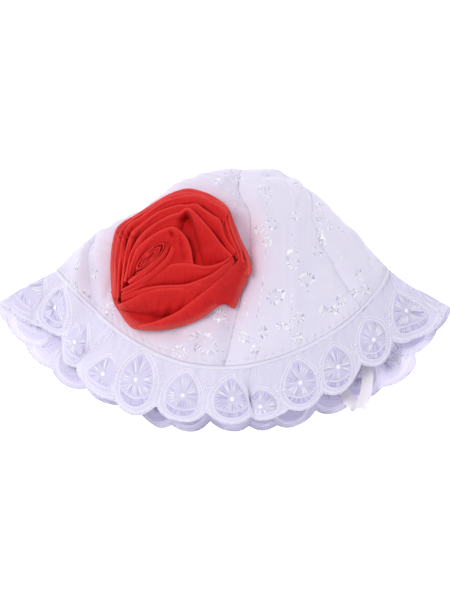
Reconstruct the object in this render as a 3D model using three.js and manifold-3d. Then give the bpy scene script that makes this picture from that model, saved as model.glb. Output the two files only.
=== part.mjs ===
// A baby's sun hat, lying on its back: six embroidered cotton gores, a corded rim, a lace ruffle,
// a wrapped chiffon rose and a ribbon chin strap. Millimetres, +Z up from the surface it lies on,
// +Y from the mouth to the top of the crown, +X to the right of someone who looks into the mouth.
import * as THREE from 'three';
import { mergeVertices } from 'three/addons/utils/BufferGeometryUtils.js';
import Module from 'manifold-3d';

const manifold = await Module();
manifold.setup();

const COTTON = 1.5;          // wall of a gore, two layers of cotton with their seam allowance
const LACE = 1.0;            // wall of the ruffle, lace with its raised cords
const CHIFFON = 1.5;         // wall of a wrap of the rose, a folded bias strip
const RIBBON = { width: 7, thick: 0.9 };
const PIPING = 1.1;          // radius of the cord round the rim
const CLEAR = 0.5;           // what two pieces keep between them
const RIM_CLEAR = 0.75;      // the same round the rim, whose corners turn sharply
const HAT_CENTRE = { x: -0.3, y: 2.4 };   // middle of the hat's box, moved to the origin
const FULL_TURN = 2 * Math.PI;

const radians = THREE.MathUtils.degToRad;
const mix = THREE.MathUtils.lerp;

/** Turns rows of numbers into objects whose keys are the names of the columns. */
function table(columns, rows) {
  return rows.map((row) => Object.fromEntries(columns.map((name, i) => [name, row[i]])));
}

/** Smooth value of one column at a place along the table's first, rising column. */
function along(rows, key, at, value) {
  const last = rows.length - 1;
  let i = 0;
  while (i < last - 1 && rows[i + 1][key] <= at) i += 1;
  const slope = (k) => {
    const a = rows[Math.max(k - 1, 0)];
    const b = rows[Math.min(k + 1, last)];
    return (b[value] - a[value]) / (b[key] - a[key]);
  };
  const step = rows[i + 1][key] - rows[i][key];
  const t = THREE.MathUtils.clamp((at - rows[i][key]) / step, 0, 1);
  const rise = rows[i + 1][value] - rows[i][value];
  const bend = (slope(i) * step - rise) * (1 - t) - (slope(i + 1) * step - rise) * t;
  return rows[i][value] + rise * t + bend * t * (1 - t);
}

// The crown. v runs from the button point at 0 to the rim at 1, and the angle goes round from the
// middle of the front over the right side. Each row is a section: its side points, the height of
// the side, how far the front rises over it and the back drops below it, and the two middles.
const CROWN = table(
  ['v', 'leftX', 'leftY', 'rightX', 'rightY', 'edgeZ', 'rise', 'frontY', 'backY', 'drop'],
  [
    [0.00, 12, 81.9, 12, 81.9, 22.0, 0, 81.9, 81.9, 0],
    [0.10, -3, 80.2, 24, 82.0, 22.5, 16, 75, 79, 15],
    [0.20, -15, 77.4, 34, 80.0, 22.5, 26, 64, 70, 24],
    [0.35, -32, 70.5, 48, 71.5, 21.5, 36, 46, 52, 32],
    [0.50, -48, 57.8, 60.5, 61.2, 20.0, 40, 25, 33, 33],
    [0.75, -78.5, 42.5, 80.5, 42.0, 15.0, 40, -9, 0, 26],
    [1.00, -102, 21.0, 98, 22.5, 12.0, 34, -47, -36.5, 21],
  ],
);
const SIDE_FULLNESS = { left: 1.0, right: 0.7 };   // how soon the rim bends back from the front
const FLOOR_ROUNDING = 3;                          // where the back comes down on the surface
const BUTTON = 0.018;                              // the gores end here, just short of their point

// Creases (height below 0) and soft folds, each a line over the crown from one place to another.
const FOLDS = table(
  ['fromAngle', 'fromV', 'toAngle', 'toV', 'width', 'height'],
  [
    [-8, 0.14, 9, 0.48, 6, -3.0],    // valley along the middle seam, upper half
    [9, 0.48, 2, 0.97, 6, -3.0],     // the same valley down to the rim
    [-8, 0.50, -7, 0.82, 12, 2.5],   // puffed cloth beside the valley, under the rose
    [55, 0.42, 55, 0.90, 6, -2.2],   // crease on the right seam
    [-80, 0.78, -50, 1.00, 6, -3.0], // deep fold from the left outline to the rim
    [-70, 0.88, -62, 1.00, 9, 2.0],  // the swell beside it
    [52, 0.16, 80, 0.26, 5, -2.0],   // crease under the top right outline
    [74, 0.30, 52, 0.56, 6, 2.2],    // shoulder that runs down from it
    [42, 0.50, 27, 0.90, 5, 1.6],    // faint pressed fold in the right front gore
    [-25, 0.91, -27, 0.99, 5, -1.4], // puckers above the rim, left of the middle
    [-17, 0.92, -17, 0.99, 5, -1.4],
    [-8, 0.92, -7, 0.99, 5, -1.4],
  ],
);
const CROWN_LENGTH = 135;   // over the front, from the button point to the rim

// The angle of each seam. The front ones wander, because the crown has slumped to one side.
const SEAMS = table(
  ['v', 'front', 'right', 'rightBack', 'back', 'leftBack', 'left'],
  [
    [0.00, -10, 80, 130, 182, 232, 270],
    [0.20, -4, 90, 129, 182, 232, 264],
    [0.35, 9, 85, 128, 182, 232, 259],
    [0.50, 10, 58, 127, 182, 232, 258],
    [0.60, 9, 54, 126, 181, 232, 262],
    [0.75, 6, 54, 125, 181, 232, 274],
    [0.85, 4, 55, 124, 180, 232, 290],
    [1.00, 1, 56, 122, 180, 232, 310],
  ],
);
const SEAM_NAMES = ['front', 'right', 'rightBack', 'back', 'leftBack', 'left'];

function seamAngle(seam, v) {
  const count = SEAM_NAMES.length;
  return radians(along(SEAMS, 'v', v, SEAM_NAMES[seam % count]) + 360 * Math.floor(seam / count));
}

/** A place on the crown as flat coordinates in millimetres, in which the folds are drawn. */
function chart(angle, v) {
  const half = (along(CROWN, 'v', v, 'rightX') - along(CROWN, 'v', v, 'leftX')) / 2;
  return new THREE.Vector2(angle * half, v * CROWN_LENGTH);
}

function foldHeight(angle, v) {
  const front = THREE.MathUtils.smoothstep(Math.cos(angle), 0, 0.2);
  if (front === 0) return 0;
  const place = chart(Math.atan2(Math.sin(angle), Math.cos(angle)), v);
  let height = 0;
  for (const fold of FOLDS) {
    const from = chart(radians(fold.fromAngle), fold.fromV);
    const line = chart(radians(fold.toAngle), fold.toV).sub(from);
    const toPlace = place.clone().sub(from);
    const t = THREE.MathUtils.clamp(toPlace.dot(line) / line.lengthSq(), 0, 1);
    const away = toPlace.sub(line.multiplyScalar(t)).length();
    height += fold.height * Math.exp(-((away / fold.width) ** 2));
  }
  return height * front;
}

/** Smooth crown without its folds. */
function bareCrown(angle, v) {
  const side = Math.sin(angle);
  const facing = Math.cos(angle);
  const at = (name) => along(CROWN, 'v', v, name);
  const half = (at('rightX') - at('leftX')) / 2;
  const sideY = mix(at('leftY'), at('rightY'), (1 + side) / 2);
  const middleY = facing > 0 ? at('frontY') : at('backY');
  const fullness = mix(SIDE_FULLNESS.left, SIDE_FULLNESS.right, (1 + side) / 2);
  const x = (at('leftX') + at('rightX')) / 2 + half * side;
  const y = mix(sideY, middleY, Math.abs(facing) ** (2 * fullness));
  if (facing > 0) return new THREE.Vector3(x, y, at('edgeZ') + at('rise') * facing);
  const free = at('edgeZ') + at('drop') * facing;
  const rounded = (free + FLOOR_ROUNDING) ** 2 / (4 * FLOOR_ROUNDING);
  const z = free > FLOOR_ROUNDING ? free : free > -FLOOR_ROUNDING ? rounded : 0;
  return new THREE.Vector3(x, y, z);
}

/** The crown's outer surface with its normal and the direction that leads down to the rim. */
function crown(angle, v) {
  const d = 0.004;
  const low = Math.max(v - d, 0);
  const high = Math.min(v + d, 1);
  const down = bareCrown(angle, high).sub(bareCrown(angle, low)).normalize();
  const round = bareCrown(angle + d, v).sub(bareCrown(angle - d, v)).normalize();
  const normal = down.clone().cross(round).normalize();
  const point = bareCrown(angle, v).addScaledVector(normal, foldHeight(angle, v));
  return { point, normal, down };
}

/** Height of the crown's front over a place in the plan, found along its sections. */
function crownHeight(x, y) {
  let low = 0;
  let high = 1;
  let z = CROWN[0].edgeZ;
  for (let i = 0; i < 24; i += 1) {
    const v = (low + high) / 2;
    const left = along(CROWN, 'v', v, 'leftX');
    const right = along(CROWN, 'v', v, 'rightX');
    const side = (x - (left + right) / 2) / ((right - left) / 2);
    const found = bareCrown(Math.asin(THREE.MathUtils.clamp(side, -1, 1)), v);
    z = found.z;
    if (Math.abs(side) > 1 || found.y > y) low = v;
    else high = v;
  }
  return z;
}

/** A position-only geometry of the triangles that have an area, facing outwards. */
function solidGeometry(points, triangles) {
  const loose = new THREE.BufferGeometry();
  const numbers = points.flatMap((p) => p.toArray());
  loose.setAttribute('position', new THREE.Float32BufferAttribute(numbers, 3));
  loose.setIndex(triangles.flat());
  const merged = mergeVertices(loose, 1e-3);
  const index = Array.from(merged.index.array);
  const kept = [];
  for (let i = 0; i < index.length; i += 3) {
    const [a, b, c] = index.slice(i, i + 3);
    if (a !== b && b !== c && c !== a) kept.push([a, b, c]);
  }
  const corner = (i) => new THREE.Vector3().fromBufferAttribute(merged.attributes.position, i);
  const volume = kept.reduce((sum, [a, b, c]) => sum + corner(a).dot(corner(b).cross(corner(c))), 0);
  merged.setIndex(kept.map((t) => (volume < 0 ? [t[0], t[2], t[1]] : t)).flat());
  return merged;
}

/** Two skins of the same grid, closed at their edges. A wall that goes all the way round wraps. */
function wall(outer, inner, wrap = false) {
  const columns = outer.length;
  const rows = outer[0].length;
  const points = [...outer.flat(), ...inner.flat()];
  const at = (i, j, skin) => skin * columns * rows + (i % columns) * rows + j;
  const triangles = [];
  const quad = (a, b, c, d) => triangles.push([a, b, c], [a, c, d]);
  const spans = wrap ? columns : columns - 1;
  for (let i = 0; i < spans; i += 1) {
    for (let j = 0; j < rows - 1; j += 1) {
      quad(at(i, j, 0), at(i + 1, j, 0), at(i + 1, j + 1, 0), at(i, j + 1, 0));
      quad(at(i, j, 1), at(i, j + 1, 1), at(i + 1, j + 1, 1), at(i + 1, j, 1));
    }
    quad(at(i, 0, 0), at(i, 0, 1), at(i + 1, 0, 1), at(i + 1, 0, 0));
    quad(at(i, rows - 1, 0), at(i + 1, rows - 1, 0), at(i + 1, rows - 1, 1), at(i, rows - 1, 1));
  }
  for (let j = 0; j < rows - 1 && !wrap; j += 1) {
    quad(at(0, j, 0), at(0, j + 1, 0), at(0, j + 1, 1), at(0, j, 1));
    const end = columns - 1;
    quad(at(end, j, 0), at(end, j, 1), at(end, j + 1, 1), at(end, j + 1, 0));
  }
  return solidGeometry(points, triangles);
}

/** One closed skin from rings that start and end in a single point each. */
function closedSkin(rings) {
  const columns = rings[0].length;
  const triangles = [];
  for (let j = 0; j < rings.length - 1; j += 1) {
    for (let i = 0; i < columns; i += 1) {
      const [a, b] = [j * columns + i, j * columns + ((i + 1) % columns)];
      triangles.push([a, b, b + columns], [a, b + columns, a + columns]);
    }
  }
  return solidGeometry(rings.flat(), triangles);
}

function cloth(name, color, roughness, geometry) {
  geometry.translate(-HAT_CENTRE.x, -HAT_CENTRE.y, 0);
  const mesh = new THREE.Mesh(geometry, new THREE.MeshStandardMaterial({ color, roughness, metalness: 0 }));
  mesh.name = name;
  return mesh;
}

const steps = (count) => Array.from({ length: count + 1 }, (_, i) => i / count);

// Gores: walls between two seams, each stopping short of its seam by half the clearance.
const GORE_NAMES = ['right_front', 'right_side', 'right_back', 'left_back', 'left_side', 'left_front'];
const GORE_COLUMNS = [7, 8, 5, 5, 8, 7];
const GORE_ROWS = 14;

const goreRows = () => steps(GORE_ROWS).map((t) => mix(BUTTON, 1, t ** 1.1));

function gore(index) {
  const columns = steps(GORE_COLUMNS[index]);
  const rows = goreRows();
  const place = (u, v) => crown(mix(seamAngle(index, v), seamAngle(index + 1, v), u), v);
  const grid = columns.map((u) => rows.map((v) => place(u, v)));
  const inset = (from, to) => from.forEach((edge, j) => {
    const inward = to[j].point.clone().sub(edge.point).normalize();
    edge.point.addScaledVector(inward, CLEAR / 2);
  });
  inset(grid[0], grid[1]);
  inset(grid.at(-1), grid.at(-2));
  const outer = grid.map((column) => column.map(({ point }) => point));
  const inner = grid.map((column) => column.map(({ point, normal }) => (
    point.clone().addScaledVector(normal, -COTTON))));
  return wall(outer, inner);
}

/** A place on the rim, in the middle of the gore's thickness and a little beyond its edge. */
function beyondRim(angle, distance, lowest) {
  const { point, normal, down } = crown(angle, 1);
  point.addScaledVector(normal, -COTTON / 2).addScaledVector(down, distance);
  point.z = Math.max(point.z, lowest);
  return point;
}

// Piping: a round cord all the way along the rim.
function piping() {
  const sides = 6;
  const stations = [];
  GORE_COLUMNS.forEach((count, index) => steps(2 * count).slice(0, -1).forEach((u) => {
    stations.push(mix(seamAngle(index, 1), seamAngle(index + 1, 1), u));
  }));
  const centres = stations.map((angle) => beyondRim(angle, PIPING + RIM_CLEAR, PIPING));
  const rings = centres.map((centre, i) => {
    const next = centres[(i + 1) % centres.length];
    const before = centres.at(i - 1);
    const tangent = next.clone().sub(before).normalize();
    const across = crown(stations[i], 1).normal.cross(tangent).normalize();
    const up = tangent.clone().cross(across).normalize();
    return steps(sides).map((t) => centre.clone()
      .addScaledVector(across, PIPING * Math.cos(FULL_TURN * t))
      .addScaledVector(up, PIPING * Math.sin(FULL_TURN * t)));
  });
  const triangles = [];
  const at = (i, j) => (i % rings.length) * (sides + 1) + j;
  for (let i = 0; i < rings.length; i += 1) {
    for (let j = 0; j < sides; j += 1) {
      const [a, b] = [at(i, j), at(i + 1, j)];
      triangles.push([a, b, b + 1], [a, b + 1, a + 1]);
    }
  }
  return solidGeometry(rings.flat(), triangles);
}

// The ruffle's outer edge. Each row is the tip of a scallop, or a turn of the cloth where the
// ruffle folds over itself, with the place on the rim that it hangs from.
const EDGE = table(
  ['angle', 'x', 'y', 'z', 'scallop'],
  [
    [-90, -134.4, 2.6, 6.5, 1],    // left point
    [-76, -105.0, -19.2, 9, 1],
    [-58, -97.8, -31.0, 9, 1],
    [-47, -87.0, -41.0, 10, 0],    // the ruffle turns under
    [-41, -94.8, -35.2, 18, 0],    // and comes back over it
    [-35, -75.0, -58.6, 19, 1],
    [-26, -55.2, -70.5, 21, 1],
    [-11, -28.2, -75.7, 23, 1],
    [0, 4.2, -76.9, 25, 1],        // front middle
    [6, 18.0, -69.0, 25, 0],       // a second, narrow fold
    [8, 11.0, -66.0, 17, 0],
    [11, 20.4, -73.7, 17, 1],
    [22, 45.6, -67.9, 22, 1],
    [35, 67.8, -57.2, 18, 1],
    [50, 91.2, -39.1, 15, 1],
    [68, 121.8, -19.1, 10, 1],
    [87, 134.7, -1.0, 7, 1],       // right point
    [96, 133.6, -8.5, 2.5, 1],
    [107, 117.0, -27.5, 2, 1],
    [119, 95.0, -49.5, 2, 1],
    [130, 79.0, -58.5, 2, 1],
    [141, 61.6, -66.0, 2, 1],
    [156, 37.0, -74.7, 2.5, 1],
    [166, 22.8, -76.4, 3, 1],
    [177, 6.5, -76.8, 2, 1],
    [191, -20.5, -77.0, 2.5, 1],
    [202, -38.0, -74.8, 2, 1],
    [216, -59.0, -61.0, 2, 1],
    [229, -92.0, -50.0, 2, 1],
    [240, -107.0, -37.5, 3, 1],
    [252, -121.0, -22.5, 2, 1],
    [264, -133.0, -9.0, 2, 1],
  ],
);
const NOTCH = 6;              // how far a notch between two scallops is cut back
const RUFFLE_DIP = 1.6;       // how far the cloth falls between two scallops of the front
const RUFFLE_REACH = 0.45;    // share of its width that it runs on from the rim, none at the sides
const RUFFLE_START = 2 * (PIPING + RIM_CLEAR);
const RUFFLE_ROWS = 4;
const SPANS_PER_SCALLOP = 4;
const LOWEST_LACE = LACE / 2 + 0.2;

/** Row of the edge table, with the loop running on past its end. */
function edgeRow(index) {
  const count = EDGE.length;
  const turns = Math.floor(index / count);
  const row = EDGE[index - turns * count];
  return { ...row, angle: row.angle + 360 * turns };
}

/** Outer edge between two rows: a smooth line, cut back and let down between two scallops. */
function edgePlace(index, t) {
  const rows = [-1, 0, 1, 2].map((k) => edgeRow(index + k));
  const smooth = (name) => {
    const [a, b, c, d] = rows.map((row) => row[name]);
    return b + 0.5 * t * (c - a + t * (2 * a - 5 * b + 4 * c - d + t * (3 * (b - c) + d - a)));
  };
  const both = rows[1].scallop * rows[2].scallop;
  const nearTip = Math.min(t, 1 - t) * 2;
  const cut = both * (1 - Math.sqrt(1 - nearTip ** 2));
  const front = THREE.MathUtils.smoothstep(smooth('z'), 4, 12);
  const edge = new THREE.Vector3(smooth('x'), smooth('y'), smooth('z') - RUFFLE_DIP * front * cut);
  return { edge, angle: radians(mix(rows[1].angle, rows[2].angle, t)), cut };
}

function ruffle() {
  const columns = EDGE.flatMap((_, index) => steps(SPANS_PER_SCALLOP).slice(0, -1).map((t) => {
    const { edge, angle, cut } = edgePlace(index, t);
    const start = beyondRim(angle, RUFFLE_START, LOWEST_LACE);
    const span = edge.clone().sub(start);
    edge.addScaledVector(span, -(NOTCH * cut) / span.length());
    const reach = RUFFLE_REACH * Math.abs(Math.cos(angle)) ** 0.5;
    const straight = span.clone().multiplyScalar(0.5 - reach / 2);
    const knee = start.clone().add(straight).addScaledVector(crown(angle, 1).down, reach * span.length());
    const curve = new THREE.QuadraticBezierCurve3(start, knee, edge);
    return steps(RUFFLE_ROWS).map((w) => curve.getPoint(w)).map((p) => {
      p.z = Math.max(p.z, LOWEST_LACE);
      return p;
    });
  }));
  const count = columns.length;
  const normals = columns.map((column, i) => column.map((_, j) => {
    const round = columns[(i + 1) % count][j].clone().sub(columns.at(i - 1)[j]);
    const down = column[Math.min(j + 1, RUFFLE_ROWS)].clone().sub(column[Math.max(j - 1, 0)]);
    return down.cross(round).normalize();
  }));
  const skin = (side) => columns.map((column, i) => column.map((point, j) => (
    point.clone().addScaledVector(normals[i][j], (side * LACE) / 2))));
  return wall(skin(1), skin(-1), true);
}

// The rose: bands of folded chiffon, wrapped round a rolled bud. Each fold is the upper edge of a
// band, from pinch to pinch through a rise, a crest and a fall, in the plane that faces a person
// who looks at the hat from ROSE.lean off the vertical. The band stands height over the crown in
// its middle, and its foot lies lean nearer the bud, or farther from it where lean is below 0.
const ROSE = { x: -27, y: 24, lean: 15, levelZ: 20 };
const ROSE_MIDDLE = new THREE.Vector2(-9, 2);
const WRAPS = table(
  ['start', 'rise', 'crest', 'fall', 'end', 'height', 'lean'],
  [
    [[-30, -11], [-26, 5], [-6, 18], [5, 9.5], [8, -2], 21, 4],
    [[-32, -13], [-27, 6], [4.5, 29.5], [18, 17], [31, 1], 19, 6],
    [[-34, -20], [-31, 16], [2, 32.5], [23, 22], [33, 3], 17, 5],
    [[-37, -24], [-35, 18], [2, 37], [27, 27], [37, 2], 14, 4],
    [[-40, -20], [-38, 18], [6, 41], [32, 27], [42, -4], 9, 3],
    [[-31, -20], [-16, -9], [2, -3.2], [17, -4.5], [31, 0], 19, -8],
    [[-36, -27], [-20, -19.5], [0, -16.5], [17, -11], [32, 1], 17, -9],
    [[-37, -28], [-15, -30.5], [3, -23], [18, -12.5], [33, 0], 14, -8],
    [[-28, -37], [-15, -38.5], [2, -28.5], [20, -16], [36, 1], 12, -9],
    [[-40, -20], [-28, -40], [-5, -41], [27, -27], [42, -4], 7, -1],
  ],
);
const BUD = table(
  ['x', 'y', 'halfLong', 'halfWide', 'height'],
  [[-17, 1, 14, 5, 23], [-18, 0.5, 9, 2.4, 24]],
);
const BUD_TURN = 42;          // degrees from +X to the bud's long way
const PINCHED = 0.72;         // height of a band where it is pinched, as a share of its middle
const WRAP_STATIONS = 9;
const ROSE_BASE = 4;          // height of the padded base that the bands are sewn to
const BELOW_CROWN = 5;        // how deep the raw rose reaches before the crown is cut out of it

/** A place of the rose: where a line of sight through x, y meets a height over the crown. */
function rosePlace([x, y], height) {
  const slant = Math.tan(radians(ROSE.lean));
  const flatY = (ROSE.y + y) / Math.cos(radians(ROSE.lean));
  const place = new THREE.Vector3(ROSE.x + x, flatY, 0);
  let z = ROSE.levelZ;
  for (let i = 0; i < 8; i += 1) {
    place.y = flatY - (z - ROSE.levelZ) * slant;
    z = mix(z, crownHeight(place.x, place.y) + height, 0.7);
  }
  place.z = z;
  return place;
}

function foldLine(fold) {
  const corners = [fold.start, fold.rise, fold.crest, fold.fall, fold.end]
    .map(([x, y]) => new THREE.Vector3(x, y, 0));
  return new THREE.CatmullRomCurve3(corners, false, 'centripetal');
}

/** A band of the rose: foot, belly and folded upper edge at each station along its fold. */
function band(fold) {
  const line = foldLine(fold);
  const skin = (side) => steps(WRAP_STATIONS).map((t) => {
    const fullness = Math.sin(Math.PI * t) ** 0.6;
    const tangent = line.getTangentAt(t);
    const edge = line.getPointAt(t);
    const across = new THREE.Vector2(-tangent.y, tangent.x).multiplyScalar((side * CHIFFON) / 2);
    const toMiddle = ROSE_MIDDLE.clone().sub(edge).setLength(fold.lean * fullness);
    const level = (share, height) => rosePlace(
      [edge.x + across.x + toMiddle.x * share, edge.y + across.y + toMiddle.y * share],
      height,
    );
    const height = fold.height * mix(PINCHED, 1, fullness);
    return [level(1, -BELOW_CROWN), level(0.45, height / 2), level(0, height)];
  });
  return wall(skin(1), skin(-1));
}

/** A roll of the bud: a wall round a long, narrow loop. */
function budRoll(roll) {
  const sides = 12;
  const turn = radians(BUD_TURN);
  const skin = (side) => steps(sides).slice(0, -1).map((t) => {
    const long = (roll.halfLong + (side * CHIFFON) / 2) * Math.cos(FULL_TURN * t);
    const wide = (roll.halfWide + (side * CHIFFON) / 2) * Math.sin(FULL_TURN * t);
    const x = roll.x + long * Math.cos(turn) - wide * Math.sin(turn);
    const y = roll.y + long * Math.sin(turn) + wide * Math.cos(turn);
    return [rosePlace([x, y], -BELOW_CROWN), rosePlace([x, y], roll.height)];
  });
  return wall(skin(1), skin(-1), true);
}

/** The padded base under the bands, inside the two outermost folds. */
function roseBase() {
  const [upper, lower] = [WRAPS[4], WRAPS.at(-1)].map(foldLine);
  const around = (line, backwards) => steps(12).slice(0, -1)
    .map((t) => line.getPointAt(backwards ? 1 - t : t));
  const outline = [...around(upper, false), ...around(lower, true)];
  const ring = (share, height) => outline.map((p) => rosePlace([p.x * share, p.y * share], height));
  return closedSkin([
    ring(0, ROSE_BASE), ring(0.45, ROSE_BASE), ring(0.8, ROSE_BASE), ring(0.98, ROSE_BASE / 2),
    ring(0.98, -BELOW_CROWN), ring(0.5, -BELOW_CROWN), ring(0, -BELOW_CROWN),
  ]);
}

/** The whole crown as a filled body that stands a clearance proud of the gores. */
function crownBody() {
  const ring = (v) => GORE_COLUMNS.flatMap((count, index) => steps(count).slice(0, -1).map((u) => {
    const { point, normal } = crown(mix(seamAngle(index, v), seamAngle(index + 1, v), u), v);
    return point.addScaledVector(normal, CLEAR);
  }));
  const rings = goreRows().map(ring);
  const middle = (points) => points.reduce((sum, p) => sum.add(p), new THREE.Vector3())
    .divideScalar(points.length);
  const pole = (points) => points.map(() => middle(points));
  return closedSkin([pole(rings[0]), ...rings, pole(rings.at(-1))]);
}

function toSolid(geometry) {
  return new manifold.Manifold(new manifold.Mesh({
    numProp: 3,
    vertProperties: geometry.attributes.position.array,
    triVerts: Uint32Array.from(geometry.index.array),
  }));
}

function fromSolid(solid) {
  const { vertProperties, triVerts } = solid.getMesh();
  const geometry = new THREE.BufferGeometry();
  geometry.setAttribute('position', new THREE.BufferAttribute(vertProperties, 3));
  geometry.setIndex(new THREE.BufferAttribute(triVerts, 1));
  return geometry;
}

function rose() {
  const raw = [roseBase(), ...WRAPS.map(band), ...BUD.map(budRoll)].map(toSolid);
  const joined = raw.reduce((whole, next) => whole.add(next));
  const pieces = joined.subtract(toSolid(crownBody())).decompose();
  const [flower] = pieces.sort((a, b) => b.volume() - a.volume());
  return fromSolid(flower);
}

// The chin strap: one ribbon, sewn inside the rim at both sides. It lies across the mouth on the
// back of the crown, comes out between the two halves of the ruffle, doubles back in a loose loop
// and goes in again. Turn is the compass direction of the ribbon's width, in degrees from +X.
const STRAP = table(
  ['x', 'y', 'z', 'turn'],
  [
    [-77, 11, 3.9, 68],
    [-58, 0, 2.6, 68],
    [-30, -10, 2.4, 78],
    [0, -14, 2.4, 82],
    [30, -17, 2.6, 78],
    [47, -21, 3.6, 60],
    [57, -30, 5.0, 35],
    [66, -44, 6.2, 32],
    [73, -56, 6.0, 30],
    [77.5, -62.5, 6.2, 22],
    [79.5, -64.5, 8.0, 14],   // the free end of the loop
    [81.5, -62, 9.6, 8],
    [84.5, -54, 9.2, 2],
    [85.5, -40, 8.2, 0],
    [84, -22, 6.6, 6],
    [80, -8, 5.0, 14],
    [76, 1, 4.2, 18],
    [73, 10, 3.9, 18],
  ],
);
const STRAP_STATIONS = 48;

function chinStrap() {
  const through = (points) => new THREE.CatmullRomCurve3(points, false, 'catmullrom');
  const route = through(STRAP.map(({ x, y, z }) => new THREE.Vector3(x, y, z)));
  const turns = through(STRAP.map(({ turn }) => new THREE.Vector3(turn, 0, 0)));
  const skin = (side) => steps(STRAP_STATIONS).map((t) => {
    const tangent = route.getTangent(t);
    const turn = radians(turns.getPoint(t).x);
    const width = new THREE.Vector3(Math.cos(turn), Math.sin(turn), 0);
    width.addScaledVector(tangent, -width.dot(tangent)).normalize();
    const up = tangent.clone().cross(width);
    return [-RIBBON.width / 2, RIBBON.width / 2].map((across) => route.getPoint(t)
      .addScaledVector(width, across).addScaledVector(up, (side * RIBBON.thick) / 2));
  });
  return wall(skin(1), skin(-1));
}

const hat = new THREE.Group();
GORE_NAMES.forEach((name, index) => {
  hat.add(cloth(`gore_${name}`, '#e6e4ee', 0.7, gore(index)));
});
hat.add(cloth('rim_piping', '#efece8', 0.65, piping()));
hat.add(cloth('lace_ruffle', '#dfe0ee', 0.8, ruffle()));
hat.add(cloth('chiffon_rose', '#c8161c', 0.75, rose()));
hat.add(cloth('chin_ribbon', '#d8d4d8', 0.4, chinStrap()));
export default hat;
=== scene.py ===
# %% [markdown]
# # A baby's sun hat, lying on its back
# The hat is cut from six embroidered gores, edged with a cord, trimmed with a gathered lace ruffle,
# a wrapped chiffon rose and a satin chin ribbon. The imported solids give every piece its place, and
# this lesson dresses them: each step builds one piece as cloth or thread and gives it its finish.

# %% Load the solids
import math

import bpy
import numpy as np
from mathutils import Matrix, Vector
from mathutils.bvhtree import BVHTree


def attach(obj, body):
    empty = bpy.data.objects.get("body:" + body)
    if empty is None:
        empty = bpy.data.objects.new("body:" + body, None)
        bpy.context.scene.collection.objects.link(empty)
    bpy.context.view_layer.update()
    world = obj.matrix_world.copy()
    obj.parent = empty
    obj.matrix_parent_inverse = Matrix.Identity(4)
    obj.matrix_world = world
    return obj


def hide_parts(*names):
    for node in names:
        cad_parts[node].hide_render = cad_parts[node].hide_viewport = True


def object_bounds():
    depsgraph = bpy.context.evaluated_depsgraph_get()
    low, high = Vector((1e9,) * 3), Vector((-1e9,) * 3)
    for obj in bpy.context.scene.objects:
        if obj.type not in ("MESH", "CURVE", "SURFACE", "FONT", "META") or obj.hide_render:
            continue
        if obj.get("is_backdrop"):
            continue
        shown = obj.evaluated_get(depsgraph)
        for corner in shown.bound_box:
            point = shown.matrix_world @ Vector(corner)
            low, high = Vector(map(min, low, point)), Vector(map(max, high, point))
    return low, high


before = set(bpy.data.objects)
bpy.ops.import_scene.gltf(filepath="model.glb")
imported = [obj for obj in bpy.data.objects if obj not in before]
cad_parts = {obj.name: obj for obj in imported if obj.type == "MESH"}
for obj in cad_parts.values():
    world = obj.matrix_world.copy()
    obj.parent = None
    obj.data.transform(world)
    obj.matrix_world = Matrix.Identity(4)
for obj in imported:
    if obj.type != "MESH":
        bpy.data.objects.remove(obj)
CAD_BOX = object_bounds()
print("solids:", sorted(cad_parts))

# %% [markdown]
# ## Numbers for the whole hat
# The solids were drawn in millimetres round a point in the mouth of the hat, and then moved so that
# the middle of their box is the origin. The same numbers are used here, so a piece lands on its
# solid without any fitting. Each table has a name for every column.

# %% Sizes in millimetres
MM = 0.001
HAT_CENTRE = np.array([-0.3, 2.4, 0.0])   # the origin, in the numbers that the solids were drawn with
COTTON = 1.3              # wall of a gore: the cotton, its backing and the seam allowance
PIPING = 1.1              # radius of the cord round the rim
RIM_GAP = 0.25            # between the crown's edge and that cord
VIEW_TILT = 15.0          # degrees between the line of sight and the vertical


def table(columns, rows):
    """Rows of numbers as one array for each named column."""
    return {name: np.array([row[i] for row in rows], float) for i, name in enumerate(columns.split())}


def along(rows, key, at, value):
    """Smooth value of a column at places along the table's first, rising column."""
    keys = rows[key]
    values = rows[value]
    last = len(keys) - 1
    slopes = np.array([
        (values[min(k + 1, last)] - values[max(k - 1, 0)]) / (keys[min(k + 1, last)] - keys[max(k - 1, 0)])
        for k in range(last + 1)
    ])
    i = np.clip(np.searchsorted(keys, at, side="right") - 1, 0, last - 1)
    step = keys[i + 1] - keys[i]
    t = np.clip((at - keys[i]) / step, 0, 1)
    rise = values[i + 1] - values[i]
    bend = (slopes[i] * step - rise) * (1 - t) - (slopes[i + 1] * step - rise) * t
    return values[i] + rise * t + bend * t * (1 - t)


def smoothstep(value, low, high):
    t = np.clip((value - low) / (high - low), 0, 1)
    return t * t * (3 - 2 * t)


def smooth_between(a, b, c, d, t):
    """The smooth value a share t of the way from b to c, whose neighbours are a and d."""
    return b + 0.5 * t * (c - a + t * (2 * a - 5 * b + 4 * c - d + t * (3 * (b - c) + d - a)))


def smooth_line(points, count):
    """A smooth line through points of any number of columns, as count places."""
    padded = np.concatenate([points[:1] * 2 - points[1:2], points, points[-1:] * 2 - points[-2:-1]])
    at = np.linspace(0, len(points) - 1, count)
    i = np.minimum(at.astype(int), len(points) - 2)
    t = (at - i)[:, None]
    return smooth_between(padded[i], padded[i + 1], padded[i + 2], padded[i + 3], t)


def run_length(points):
    """Distance along a line of points, from 0 at the first."""
    return np.concatenate([[0], np.cumsum(np.linalg.norm(np.diff(points, axis=0), axis=1))])


def unit(vectors):
    return vectors / np.maximum(np.linalg.norm(vectors, axis=-1, keepdims=True), 1e-9)


print("the origin, in the numbers of the solids:", HAT_CENTRE)

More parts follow.
